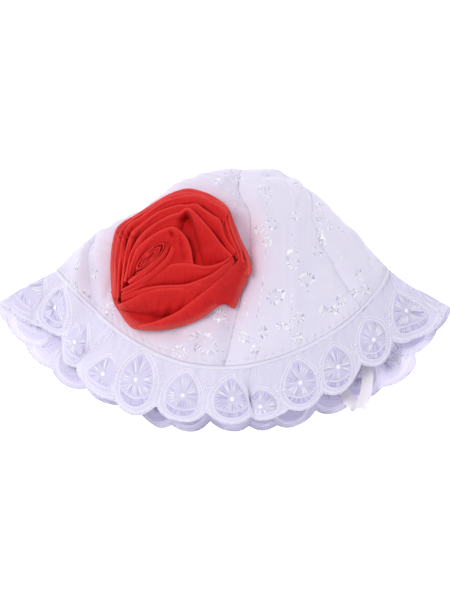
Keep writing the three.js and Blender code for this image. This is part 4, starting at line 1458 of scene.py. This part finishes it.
# %% Satin material
def satin_material():
    material, tree = new_material("polyester satin ribbon, woven")
    place = node(tree, "ShaderNodeUVMap", {"uv_map": "cloth"})
    floats = node(tree, "ShaderNodeTexWave", {"bands_direction": "Y"},
                  {"Vector": place, "Scale": wave_scale(0.6), "Distortion": 1.5})
    colour = node(tree, "ShaderNodeMix", {"data_type": "RGBA"},
                  {"Factor": floats.outputs["Fac"], 6: linear("#f6f2f9"), 7: linear("#e4deea")})
    bump = node(tree, "ShaderNodeBump", None,
                {"Height": floats.outputs["Fac"], "Strength": 0.2, "Distance": 0.06 * MM})
    shader = node(tree, "ShaderNodeBsdfPrincipled", None, {
        "Base Color": colour.outputs[2],
        "Roughness": 0.28,
        "Anisotropic": 0.5,
        "Sheen Weight": 0.3,
        "Specular IOR Level": 0.6,
        "Normal": bump,
    })
    node(tree, "ShaderNodeOutputMaterial", None, {"Surface": shader})
    return material


satin = satin_material()
print("material:", satin.name)

# %% Ribbon
# Turn is the way that the ribbon's width points, in degrees from the right.
STRAP = table("x y z turn", [
    [-77, 11, 3.9, 68], [-58, 0, 2.6, 68], [-30, -10, 2.4, 78], [0, -14, 2.4, 82], [30, -17, 2.6, 78],
    [47, -21, 3.6, 60], [57, -30, 5.0, 35], [66, -44, 6.2, 32], [73, -56, 6.0, 30],
    [77.5, -62.5, 6.2, 22], [79.5, -64.5, 8.0, 14], [81.5, -62, 9.6, 8], [84.5, -54, 9.2, 2],
    [85.5, -40, 8.2, 0], [84, -22, 6.6, 6], [80, -8, 5.0, 14], [76, 1, 4.2, 18], [73, 10, 3.9, 18],
])
RIBBON = {"width": 6.8, "thick": 0.45, "across": 9, "stations": 260}


def chin_ribbon():
    """The ribbon, slightly cupped across and waved along, and its length."""
    route = smooth_line(np.stack(list(STRAP.values()), 1), RIBBON["stations"])
    place, turn = route[:, :3], np.radians(route[:, 3])
    tangent = unit(np.gradient(place, axis=0))
    width = np.stack([np.cos(turn), np.sin(turn), np.zeros_like(turn)], 1)
    width = unit(width - tangent * np.sum(width * tangent, 1, keepdims=True))
    up = np.cross(tangent, width)
    length = run_length(place)
    across = np.linspace(-0.5, 0.5, RIBBON["across"]) * RIBBON["width"]
    cupped = 0.35 * (1 - (2 * across / RIBBON["width"]) ** 2)
    wave = 0.18 * np.sin(length[:, None] / 7 + across[None, :] / 3)
    middle_skin = place[:, None] + width[:, None] * across[None, :, None]
    middle_skin = middle_skin + up[:, None] * (cupped[None, :] + wave)[..., None]
    half = up[:, None] * RIBBON["thick"] / 2
    flat = np.stack(np.broadcast_arrays(across[None, :], length[:, None]), -1) * MM
    piece = cloth_wall("satin_chin_ribbon", middle_skin + half, middle_skin - half, flat, sharp=60)
    piece.data.materials.append(satin)
    stands_in(piece, "chin_ribbon")
    return piece, length[-1]


ribbon, ribbon_length = chin_ribbon()
print("ribbon, mm:", round(ribbon_length), "triangles:", triangles(ribbon))

# %% [markdown]
# ## Rose: where a wrap runs
# The rose is one wide strip of red chiffon, folded double along its length, wound round a rolled bud
# and pinched where it turns. Its wraps lie one behind the other like steps. Each row of a table is a
# place on the folded edge and the place where the face below it dives behind the next wrap, both as
# seen by someone who looks square at the rose, in millimetres from its middle. Height is how far the
# folded edge stands over the crown, and foot how far the lower end of the face does.

# %% Table of wraps
ROSE = {"x": -27, "y": 24, "lean": 15, "level": 20}
# The columns of every wrap are x, y, footX and footY, and back is how far it runs down behind its fold.
WRAPS = [
    {"name": "inner", "height": 21, "foot": 17.5, "back": 4, "rows": [
        [-30, -11, -28.5, -14], [-27.5, -2, -25, -5], [-24, 6, -21, 0], [-17, 12.5, -15, 5.5],
        [-10, 16.5, -10, 9], [-4, 18.2, -6, 8], [0, 16.5, -5, 3], [4, 12, -8, -3], [6.5, 6, -13, -9],
        [7.5, 0, -18, -13], [8.5, -5, -26, -18.5],
    ]},
    {"name": "second", "height": 19.5, "foot": 11.5, "back": 4, "rows": [
        [-32, -13, -30, -14], [-30, -4, -26.5, -4], [-27.5, 5, -23, 3], [-22, 14, -17, 9.5],
        [-14, 20.5, -11, 13], [-6, 25, -4, 14], [0, 27, 1.5, 12], [4.5, 29.5, 6, 4], [8, 28, 9, -6],
        [13, 23, 12.5, -7], [19, 16, 18, -7.5], [25, 8, 24, -5.5], [31, 1.5, 30, -1.5],
    ]},
    {"name": "third", "height": 17.5, "foot": 8.5, "back": 4, "rows": [
        [-34, -19, -32, -16], [-33, -8, -30, -7], [-31, 5, -27, 4], [-28, 15, -22, 12],
        [-22, 20.5, -15, 17], [-13, 27, -8, 21.5], [-6, 30, -2, 23.5], [0, 31.5, 2, 25], [5, 31.5, 5, 26],
        [10, 32, 8.5, 24], [15, 28.5, 13, 19.5], [20, 25, 17.5, 14], [24, 22, 21, 10], [27, 13, 25.5, 5.5],
        [33, 4, 31, 0],
    ]},
    {"name": "fourth", "height": 14.5, "foot": 7, "back": 4, "rows": [
        [-36.5, -24, -34, -21], [-36, -12, -33, -10], [-35, 0, -31, 0], [-33.5, 12, -28.5, 10.5],
        [-30, 20, -24.5, 15], [-22, 25.5, -17, 21], [-14, 31, -11, 25], [-8, 34.5, -6, 27.5],
        [0, 36.5, 0, 28.5], [8, 37.5, 7, 29], [15, 36, 12, 28.5], [21, 32.5, 17, 25], [28, 27.5, 22, 20.5],
        [26, 19.5, 23, 14.5], [28.5, 12, 25.5, 9.5], [31.5, 6.5, 29, 4], [34, 3, 32, 0.5],
    ]},
    {"name": "outer", "height": 9.5, "foot": 4.5, "back": 12, "rows": [
        [-39, -22, -36, -23], [-40, -10, -35.5, -11], [-40, 2, -34.5, 1], [-38.5, 14, -32, 10.5],
        [-35, 21, -27.5, 17.5], [-25, 27, -19.5, 23], [-15, 33.5, -12, 28], [-5, 39, -4, 31.5],
        [4, 41.5, 4, 33], [12, 40, 11, 33], [20, 36.5, 18, 30], [28, 30, 25, 24.5], [32, 20, 26.5, 16.5],
        [36, 10, 29.5, 7.5], [39.6, 3, 33, 0], [41.6, -4, 35, -5], [41.2, -9, 35, -9.5],
    ]},
    {"name": "first below", "height": 19, "foot": 10.5, "back": 6, "rows": [
        [-34, -20.6, -33.6, -22.4], [-28, -18, -27.5, -20], [-22, -14.5, -21.5, -19], [-16, -10, -16, -18],
        [-10, -6.5, -9.5, -17.5], [-4, -3.8, -3, -17.5], [2, -3, 3.5, -17], [8, -3.5, 9, -15.5],
        [14, -4.8, 14.5, -13.5], [20, -4.4, 20, -10.5], [26, -2, 25.5, -6.5], [31, 1.5, 30.5, -1],
    ]},
    {"name": "second below", "height": 18, "foot": 13, "back": 4, "rows": [
        [-34, -20.5, -34, -25.5], [-30, -20, -29.5, -25.5], [-24, -18.5, -23, -23],
        [-18, -17, -17.5, -20.5], [-10, -16, -10, -19.5], [0, -15.8, 0, -19], [6, -15, 6.5, -18.5],
        [14, -12, 14.5, -15], [20, -9, 20.5, -11.5], [26, -4.5, 26.5, -7], [31.5, 1, 31.5, -1],
    ]},
    {"name": "third below", "height": 16.8, "foot": 4.5, "back": 3, "rows": [
        [-36, -27.5, -34.5, -29.5], [-28, -24, -27, -32], [-20, -19.5, -19, -33], [-12, -17.8, -11, -33.5],
        [-4, -17.2, -3, -33], [6, -16.5, 6, -30], [14, -13, 14, -23.5], [22, -8, 22, -16.5],
        [28, -3, 28.5, -10], [32, 0.5, 33, -4],
    ]},
    {"name": "corner below", "height": 6.5, "foot": 3.5, "back": 9, "rows": [
        [-40, -19, -34, -21.5], [-37.8, -26.5, -32, -28], [-34, -32, -27, -30.5], [-30.5, -37, -21, -31.5],
        [-26, -40.5, -14, -32.5], [-18, -41.2, -8, -34], [-12, -41.5, -4, -34],
    ]},
    {"name": "broad panel", "height": 13, "foot": 2.6, "back": 5, "rows": [
        [-24, -39.2, -22, -41.8], [-16, -37.8, -13, -42], [-8, -35, -4, -41], [0, -31, 5, -38.5],
        [8, -25, 14, -34.5], [15, -19.5, 22, -28.5], [19, -16.3, 27, -26.4], [22.5, -13.2, 32.8, -28.8],
        [26, -10, 36.5, -20], [30, -6, 39.8, -13.5], [34, -2, 41.6, -7], [36, 1, 41.9, -2],
    ]},
]
NAMED = {wrap["name"]: wrap for wrap in WRAPS}
print("wraps in the table:", ", ".join(NAMED))

# %% The crown under the rose
MAP_STEP = 2.0


def crown_height_map():
    x = np.arange(-92, 32, MAP_STEP)
    y = np.arange(-50, 92, MAP_STEP)
    heights = np.zeros((len(x), len(y)))
    for i, xi in enumerate(x):
        for j, yj in enumerate(y):
            hit = crown_tree.ray_cast(Vector((xi, yj, 300)), Vector((0, 0, -1)))[0]
            heights[i, j] = hit.z if hit else 0
    # A ray can fall through the gap between two gores. Such a place takes the lower neighbour's height.
    for _ in range(2):
        heights[1:-1] = np.maximum(heights[1:-1], np.minimum(heights[:-2], heights[2:]))
    return x, y, heights


MAP_X, MAP_Y, MAP_Z = crown_height_map()


def crown_height(x, y):
    u = np.clip((x - MAP_X[0]) / MAP_STEP, 0, len(MAP_X) - 1.001)
    v = np.clip((y - MAP_Y[0]) / MAP_STEP, 0, len(MAP_Y) - 1.001)
    i, j = u.astype(int), v.astype(int)
    s, t = u - i, v - j
    low = MAP_Z[i, j] * (1 - s) + MAP_Z[i + 1, j] * s
    high = MAP_Z[i, j + 1] * (1 - s) + MAP_Z[i + 1, j + 1] * s
    return low * (1 - t) + high * t


def rose_place(x, y, height):
    """Where a line of sight through x, y of the rose meets a height over the crown, found in ten steps."""
    lean = math.radians(ROSE["lean"])
    flat_y = (ROSE["y"] + y) / math.cos(lean)
    z = np.full_like(flat_y, ROSE["level"])
    for _ in range(10):
        place_y = flat_y - (z - ROSE["level"]) * math.tan(lean)
        z = 0.3 * z + 0.7 * (crown_height(ROSE["x"] + x, place_y) + height)
    return np.stack([ROSE["x"] + x, flat_y - (z - ROSE["level"]) * math.tan(lean), z], -1)


print("crown under the rose, mm:", MAP_Z.max().round(1))

# %% [markdown]
# ## Chiffon
# Chiffon is a sheer plain weave of hard-twisted yarn. Doubled and gathered it is a deep matt red. A highlight
# is painted along each folded edge and fades down the face, so the colour is painted lighter at the fold
# than in the valley, and part of the light passes through.

# %% Chiffon material
def chiffon_material():
    material, tree = new_material("polyester chiffon, doubled")
    place = node(tree, "ShaderNodeUVMap", {"uv_map": "cloth"})
    weave = woven_bump(tree, place, 0.45, 0.12)
    gathers = node(tree, "ShaderNodeMapping", None, {
        "Vector": place,
        "Scale": (1 / (1.5 * MM), 1 / (9 * MM), 1.0),
    })
    blotch = node(tree, "ShaderNodeTexNoise", None,
                  {"Vector": gathers, "Scale": 1.0, "Detail": 3.0})
    # Painted highlight along each folded edge, fading down the face.
    painted_fold_light = node(tree, "ShaderNodeAttribute", {"attribute_name": "painted_fold_light"})
    deep = node(tree, "ShaderNodeMix", {"data_type": "RGBA"},
                {"Factor": blotch.outputs["Fac"], 6: linear("#bd070c"), 7: linear("#ea2628")})
    colour = node(tree, "ShaderNodeMix", {"data_type": "RGBA"},
                  {"Factor": painted_fold_light.outputs["Fac"], 6: deep.outputs[2], 7: linear("#ee3936")})
    thin = node(tree, "ShaderNodeAttribute", {"attribute_name": "thin"})
    paler = node(tree, "ShaderNodeMix", {"data_type": "RGBA"},
                 {"Factor": thin.outputs["Fac"], 6: colour.outputs[2], 7: linear("#f8766f")})
    crinkle = node(tree, "ShaderNodeTexNoise", None,
                   {"Vector": gathers, "Scale": 0.6, "Detail": 4.0, "Distortion": 0.8})
    crushed = node(tree, "ShaderNodeBump", None, {
        "Height": crinkle.outputs["Fac"],
        "Strength": 0.6,
        "Distance": 0.5 * MM,
        "Normal": weave,
    })
    front = node(tree, "ShaderNodeBsdfPrincipled", None, {
        "Base Color": paler.outputs[2],
        "Roughness": 0.7,
        "Sheen Weight": 0.06,
        "Sheen Tint": linear("#ff8a80"),
        "Specular IOR Level": 0.18,
        "Normal": crushed,
    })
    behind = node(tree, "ShaderNodeBsdfTranslucent", None, {"Color": colour.outputs[2]})
    body = node(tree, "ShaderNodeMixShader", None,
                {0: 0.22, 1: front, 2: behind})
    clear = node(tree, "ShaderNodeBsdfTransparent", None, {"Color": linear("#ffb8b4")})
    sheer = node(tree, "ShaderNodeMath", {"operation": "MULTIPLY"}, {0: thin.outputs["Fac"], 1: 0.35})
    veil = node(tree, "ShaderNodeMixShader", None,
                {0: sheer, 1: body, 2: clear})
    node(tree, "ShaderNodeOutputMaterial", None, {"Surface": veil})
    return material


chiffon = chiffon_material()
print("material:", chiffon.name)

# %% Section and relief of a wrap
FACE_ROWS = 20


def wrap_profile(length, drop, back):
    """Steps from the hidden back, over the fold, down the face: way inwards, height and painted fold
    highlight.
    """
    depth = np.linspace(1, 0.12, 7) * back
    s = np.linspace(0.02, 1, FACE_ROWS)
    inwards = np.concatenate([-0.5 - 0.05 * depth, [-0.42, -0.2, 0.05], 0.3 + (length - 0.3) * s])
    height = np.concatenate([-depth, [-0.3, -0.04, 0.04], -drop * (0.3 * s + 0.7 * s ** 3)])
    face = np.maximum(inwards, 0)
    # Painted highlight: full at the fold, fading down the face over a few millimetres.
    painted_fold_light = 0.5 * np.exp(-face / 0.5) + 0.5 * np.exp(-face / 3.5)
    return inwards, height, painted_fold_light * np.exp(np.minimum(inwards + 0.5, 0) / 1.5)


def hump(x, y, at_x, at_y, half_wide, half_high):
    """A smooth hump of height 1 round a place of the rose."""
    return np.exp(-(((x - at_x) / half_wide) ** 2 + ((y - at_y) / half_high) ** 2))


def face_relief(name, x, y, t, s):
    """Creases, valleys and small waves on the face of a wrap, in millimetres of height.

    T is the share of the way along the wrap, and s the share of the way down its face.
    """
    waves = 0.45 * soft_waves(np.stack([x * 0.9 + 3 * t, y * 0.9], -1), sum(map(ord, name)) % 97)
    across = 0.35 * np.sin(s * 9 + 5 * np.sin(3 * t) + y / 6)
    relief = (waves + across) * smoothstep(s, 0.0, 0.25)
    if name == "second":
        # The deep valley behind the tall pleat, steep on its right side.
        from_middle = x - 4.8 - (29 - y) * 0.19
        wide = np.where(from_middle < 0, 4.2, 1.5) * smoothstep(30 - y, -2, 9)
        relief -= 12 * np.exp(-(from_middle / (wide + 0.6)) ** 2) * smoothstep(s, 0.0, 0.28)
    if name == "inner":
        # The split and the bulge beside it, where the cloth turns over the bud.
        relief -= 1.3 * np.exp(-((x - 1.5 - (10 - y) * 0.17) / 0.9) ** 2) * smoothstep(y, -4, 0)
        relief += 1.8 * hump(x, y, -2, 12, 3.2, 1.6)
        relief -= 2.6 * np.exp(-(((x + 4.2 + (y - 15) * 0.6) / 1.1) ** 2 + ((y - 14.4) / 2.4) ** 2))
    if name in ("outer", "between"):
        relief += 0.8 * np.sin(s * 13 + 2 * np.sin(7 * t)) * smoothstep(t, 0.45, 0.75) * smoothstep(s, 0, 0.2)
    if name in ("outer", "fourth", "between"):
        # The pinch at the upper left.
        relief += 1.5 * hump(x, y, -33, 15, 5, 6) * np.sin(x * 1.9 + y * 1.1)
    if name in ("outer", "fourth", "third", "between"):
        for drop, wide, start in ((1.8, 1.3, 17.0), (-1.0, 1.2, 19.6)):
            off = y - start + (x + 37) * 0.42
            relief -= drop * np.exp(-(off / wide) ** 2) * smoothstep(-22 - x, 0, 4)
    if name == "third below":
        relief += 1.1 * hump(x, y, -12, -29, 5, 1.3)
        relief += 0.5 * np.sin((x - 0.35 * y) * 0.9) * smoothstep(s, 0.15, 0.6) * smoothstep(x, -18, -8)
    return relief

# %% Fold lines and outline of the rose
STATIONS = 110


def resampled(rows):
    """A wrap's rows at even steps along its folded edge, and the distance along it."""
    route = smooth_line(np.array(rows, float), STATIONS * 4)
    length = run_length(route[:, :2])
    even = np.linspace(0, length[-1], STATIONS)
    return np.stack([np.interp(even, length, route[:, k]) for k in range(4)], 1), even


def rose_outline():
    """Turn and reach of the outermost places of all wraps, seen from the middle of the rose."""
    rows = np.concatenate([smooth_line(np.array(wrap["rows"], float), 200) for wrap in WRAPS])
    places = np.concatenate([rows[:, :2], rows[:, 2:]])
    turn = np.degrees(np.arctan2(places[:, 1], places[:, 0])) % 360
    reach = np.hypot(places[:, 0], places[:, 1])
    bins = np.arange(0, 360, 6)
    return bins + 3, np.array([reach[(turn >= low) & (turn < low + 6)].max() for low in bins])


OUTLINE_TURN, OUTLINE_REACH = rose_outline()


def rose_reach(x, y):
    """Distance from the middle of the rose as a share of the distance to its outline."""
    turn = np.degrees(np.arctan2(y, x)) % 360
    return np.hypot(x, y) / np.interp(turn, OUTLINE_TURN, OUTLINE_REACH, period=360)


print("reach of the rose, mm:", OUTLINE_REACH.min().round(1), "to", OUTLINE_REACH.max().round(1))

# %% Sheets of chiffon
CHIFFON = 0.28
PINCHED = 0.78            # share of its height that a wrap has at its ends
LOWEST_CHIFFON = 1.3
THINNEST = 0.55


def chiffon_wall(name, x, y, height, flat, painted_fold_light, wrap=False, on_face=1.0):
    """One sheet of chiffon through a grid of places. Round the rose's edge it is single and thin."""
    skin = rose_place(x, y, height)
    along_way = np.roll(skin, -1, 0) - np.roll(skin, 1, 0) if wrap else np.gradient(skin, axis=0)
    down_way = np.gradient(skin, axis=1)
    normal = unit(np.cross(down_way, along_way))
    half = normal * CHIFFON / 2
    piece = cloth_wall(name, skin + half, skin - half, flat * MM, wrap=wrap, sharp=70)
    edge_of_rose = smoothstep(rose_reach(x, y), 0.88, 0.99) * (0.15 + 0.85 * on_face)
    edge_of_rose = edge_of_rose * (0.3 + 0.7 * smoothstep(-y, -25, 2))
    # Keeps the painted fold highlight for the material.
    store(piece, "painted_fold_light", np.asarray(painted_fold_light))
    store(piece, "thin", THINNEST * edge_of_rose)
    piece.data.materials.append(chiffon)
    return piece


def chiffon_wrap(wrap):
    """A wrap of the rose from its table, lowest at its two ends, where it is pinched."""
    rows, length = resampled(wrap["rows"])
    t = length / length[-1]
    fold, foot = rows[:, :2], rows[:, 2:]
    span = foot - fold
    reach = np.linalg.norm(span, axis=1)
    inward = span / reach[:, None]
    full = PINCHED + (1 - PINCHED) * np.sin(math.pi * t) ** 0.6
    edge = wrap["height"] * full
    base = wrap["foot"] * full
    profiles = [wrap_profile(r, e - b, wrap["back"]) for r, e, b in zip(reach, edge, base)]
    inwards, height, painted_fold_light = np.stack(profiles, 1)
    x = fold[:, :1] + inward[:, :1] * inwards
    y = fold[:, 1:] + inward[:, 1:] * inwards
    s = np.clip(inwards / reach[:, None], 0, 1)
    relief = face_relief(wrap["name"], x, y, np.broadcast_to(t[:, None], x.shape), s)
    waved_edge = 0.35 * np.sin(length / 5 + len(wrap["rows"])) + 0.2 * np.sin(length / 1.9)
    height = np.maximum(edge[:, None] + height + relief + waved_edge[:, None], LOWEST_CHIFFON)
    flat = np.stack(np.broadcast_arrays(length[:, None], inwards - height), -1)
    name = "chiffon_wrap_" + wrap["name"].replace(" ", "_")
    return chiffon_wall(name, x, y, height, flat, painted_fold_light, on_face=smoothstep(inwards, -0.52, -0.3))


def wrap_between(outer, inner, share, height, foot, name):
    """A narrow wrap that runs part of the way from one fold line to the next."""
    a, _ = resampled(outer["rows"])
    b, _ = resampled(inner["rows"])
    fold = a[:, :2] * (1 - share) + b[:, :2] * share
    rows = np.concatenate([fold, b[:, :2] * 0.6 + b[:, 2:] * 0.4], 1)[:: STATIONS // 18]
    return {"name": name, "height": height, "foot": foot, "back": 3, "rows": rows.tolist()}

# %% All wraps
WRAPS.append(wrap_between(NAMED["outer"], NAMED["fourth"], 0.42, 11.8, 6.5, "between"))
WRAPS += [
    {"name": "ring right outer", "height": 13.4, "foot": 8, "back": 5, "rows": [
        [22, 34.4, 21, 30], [28.2, 28.8, 26, 24], [30.2, 20, 27, 16], [32.8, 12, 29.5, 8], [36, 5, 32.5, 2],
        [37.6, -2, 34, -3],
    ]},
    {"name": "ring right inner", "height": 14.6, "foot": 9, "back": 5, "rows": [
        [27.4, 27, 25, 22], [28.2, 20, 25.5, 16], [30.6, 12.5, 27.8, 9], [33.4, 6, 31, 3],
        [35.2, 1, 33, -1],
    ]},
    {"name": "beside bud", "height": 21.6, "foot": 19, "back": 5, "rows": [
        [-30, -13.5, -28.6, -15.6], [-24, -9.2, -22.4, -12], [-16, -3.4, -13.6, -6], [-10, 2.4, -7.6, 0],
        [-7.4, 7.6, -4.6, 6.4], [-7.8, 10.4, -5.4, 10.6],
    ]},
    {"name": "beside bud outer", "height": 20.4, "foot": 18, "back": 6, "rows": [
        [-33.5, -18.4, -32.2, -20.2], [-29, -16, -27.4, -17.8], [-22, -11.8, -20, -14.4],
        [-14, -6.2, -11.4, -9], [-7, 0.6, -3.6, -2.4], [-3.6, 7.6, -0.4, 5.6], [-2.4, 12, 1, 10.4],
    ]},
]
rose_pieces = [chiffon_wrap(wrap) for wrap in WRAPS]
print("wraps:", len(rose_pieces), "triangles each:", triangles(rose_pieces[0]))

# %% [markdown]
# ## Bud and base
# The heart of the rose is the start of the strip, rolled flat, so from above it is a long narrow
# spiral. Under everything lies a padded disc of the same chiffon, which closes the view between the
# wraps.

# %% Rolled bud
BUD = {"x": -17.2, "y": 1.0, "turn": 44, "long": 12.4, "wide": 3.5, "rolls": 3.1, "height": 23.5}
# The sheet's section from its hidden foot over its top: how far down and how far outwards.
BUD_SECTION = table("down side", [
    [9, 0.5], [6, 0.42], [4, 0.4], [2.4, 0.4], [1.2, 0.4], [0.5, 0.36], [0.1, 0.22], [0, 0],
    [0.1, -0.22], [0.5, -0.36], [1.2, -0.4], [2.2, -0.4], [3.2, -0.4],
])


def bud_place(long_way, wide_way):
    """A place of the bud, given along its long axis and across it."""
    axis = math.radians(BUD["turn"])
    x = BUD["x"] + long_way * math.cos(axis) - wide_way * math.sin(axis)
    return x, BUD["y"] + long_way * math.sin(axis) + wide_way * math.cos(axis)


def closed_map(x, y):
    """Flat coordinates of a sheet that goes all the way round."""
    flat = np.stack([x, y], -1)
    return np.concatenate([flat, flat[:1]])


def rose_bud():
    first = math.radians(200)
    turn = np.linspace(first, first + BUD["rolls"] * math.tau, 190)
    t = np.linspace(0, 1, len(turn))
    long_way = (BUD["long"] * (1 - 0.78 * t)) * np.cos(turn)
    x, y = bud_place(long_way, (BUD["wide"] * (1 - 0.82 * t)) * np.sin(turn))
    outward = unit(np.stack([x - BUD["x"], y - BUD["y"]], 1))
    down, side = BUD_SECTION["down"], BUD_SECTION["side"]
    lean = 1 + 0.02 * down
    xs = BUD["x"] + (x[:, None] - BUD["x"]) * lean + outward[:, :1] * side
    ys = BUD["y"] + (y[:, None] - BUD["y"]) * lean + outward[:, 1:] * side
    top = BUD["height"] - 1.6 * (1 - t) + 0.3 * np.sin(turn * 2.3) - 0.9 * np.cos(turn) ** 2
    height = top[:, None] - down
    length = run_length(np.stack([x, y], 1))
    flat = np.stack(np.broadcast_arrays(length[:, None], np.cumsum(np.full(len(down), 0.8))[None]), -1)
    # Painted highlight on the top of each roll.
    painted_fold_light = np.broadcast_to(np.exp(-down / 0.9), height.shape)
    return chiffon_wall("chiffon_bud", xs, ys, height, flat, painted_fold_light)


def bud_core():
    """The part of the roll that shows between its turns."""
    turn = np.linspace(0, math.tau, 36, endpoint=False)[:, None]
    shares = np.linspace(0.02, 1, 8)
    x, y = bud_place((BUD["long"] - 1.2) * shares * np.cos(turn), (BUD["wide"] - 0.8) * shares * np.sin(turn))
    height = BUD["height"] - 1.6 - 4 * np.broadcast_to(shares, x.shape) ** 6
    return chiffon_wall("chiffon_bud_core", x, y, height, closed_map(x, y), np.zeros(x.shape), wrap=True)


print("bud, mm:", 2 * BUD["long"], "by", 2 * BUD["wide"])

# %% Padded base
BASE_EDGE = 0.93          # share of the outline at which the base ends
BASE_HEIGHTS = table("share height", [
    [0, 13.0], [0.25, 12.5], [0.5, 10.5], [0.7, 7.0], [0.85, 3.4], [0.9, 1.6], [0.93, -0.6],
])
# Pads that close the view down between the wraps.
PADS = table("x y halfWide halfHigh height", [
    [-33, -14, 3.5, 4.5, 12.5], [-35, -23, 3, 3.5, 10.5], [-26.5, -7.5, 3, 3, 9.5], [35.5, -3, 4, 4, 8],
])


def rose_base():
    """The padded disc under the wraps, inside the two outermost fold lines."""
    upper, _ = resampled(NAMED["outer"]["rows"])
    left, _ = resampled(NAMED["corner below"]["rows"])
    lower, _ = resampled(NAMED["broad panel"]["rows"])
    outline = np.concatenate([upper[::4, :2], lower[::-4, 2:], left[-30::-5, :2]])
    shares = np.linspace(0.02, BASE_EDGE, 24)
    x = outline[:, :1] * shares
    y = outline[:, 1:] * shares
    fills = sum(high * hump(x, y, *place) for *place, high in zip(*PADS.values()))
    height = np.interp(shares, BASE_HEIGHTS["share"], BASE_HEIGHTS["height"])
    height = height + fills * smoothstep(BASE_EDGE - shares, 0, 0.05)
    return chiffon_wall("rose_padded_base", x, y, height, closed_map(x, y), np.zeros(x.shape), wrap=True)


rose_pieces += [rose_bud(), bud_core(), rose_base()]
for piece in rose_pieces:
    stands_in(piece, "chiffon_rose")
print("rose triangles:", sum(triangles(piece) for piece in rose_pieces))

# %% [markdown]
# ## Stage, light and camera
# The picture was taken on a white sweep in soft light from all sides, so the floor here is plain and
# pale, the sky a soft white, and one broad light from the upper left gives the folds their shade. The
# camera looks down from 75 degrees above the floor, from far off, as the picture's small perspective
# shows.

# %% Floor, light and camera
def floor_piece():
    mesh = bpy.data.meshes.new("floor")
    mesh.from_pydata([(-6, -6, 0), (6, -6, 0), (6, 6, 0), (-6, 6, 0)], [], [(0, 1, 2, 3)])
    material, tree = new_material("white paper sweep")
    shader = node(tree, "ShaderNodeBsdfPrincipled", None, {
        "Base Color": linear("#fdfdfd"),
        "Roughness": 0.9,
        "Specular IOR Level": 0.1,
        "Emission Color": (1, 1, 1, 1),
        "Emission Strength": 0.75,
    })
    node(tree, "ShaderNodeOutputMaterial", None, {"Surface": shader})
    mesh.materials.append(material)
    in_scene("floor", mesh)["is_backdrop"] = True


def area_light(name, place, target, size, watts, colour):
    data = bpy.data.lights.new(name, "AREA")
    data.shape = "DISK"
    data.size = size
    data.energy = watts
    data.color = colour
    light = in_scene(name, data)
    light.location = place
    light.rotation_euler = (Vector(target) - Vector(place)).to_track_quat("-Z", "Y").to_euler()


CAMERA_DISTANCE = 1.8
PICTURE_SCALE = 0.6        # millimetres of the hat to a pixel of the picture
FRAME_HEIGHT = 600

floor_piece()
area_light("key light", (-0.6, 0.1, 1.2), (0, 0, 0.02), 0.6, 8.0, (1.0, 0.99, 0.98))
area_light("fill light", (0.9, -0.5, 0.9), (0, 0, 0.02), 0.9, 2.5, (0.97, 0.97, 1.0))

world = bpy.data.worlds.new("soft white room")
world.use_nodes = True
sky = world.node_tree.nodes["Background"].inputs
sky["Color"].default_value = (0.97, 0.97, 1.0, 1)
sky["Strength"].default_value = 0.61
bpy.context.scene.world = world

camera_data = bpy.data.cameras.new("camera")
camera_data.sensor_width = 36
camera_data.lens = 36 * CAMERA_DISTANCE * 1000 / (PICTURE_SCALE * FRAME_HEIGHT)
camera = in_scene("camera", camera_data)
tilt = math.radians(VIEW_TILT)
target = Vector((-HAT_CENTRE[0] * MM, -HAT_CENTRE[1] * MM, 0.020))
camera.location = target + Vector((0, -math.sin(tilt), math.cos(tilt))) * CAMERA_DISTANCE
camera.rotation_euler = (tilt, 0, 0)
bpy.context.scene.camera = camera
bpy.context.scene.view_settings.view_transform = "Standard"
print("camera at", [round(c, 3) for c in camera.location], "lens", round(camera_data.lens, 1))

# %% [markdown]
# ## The boxes
# The boxes of the solids and of the dressed hat are printed. The dressed hat has to stay within the box of
# its solids, but for what cloth may stand proud.

# %% Compare the boxes and finish
dressed_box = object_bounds()
for name, (low, high) in (("solids", CAD_BOX), ("dressed", dressed_box)):
    print(name, [round(c * 1000, 1) for c in low], [round(c * 1000, 1) for c in high])
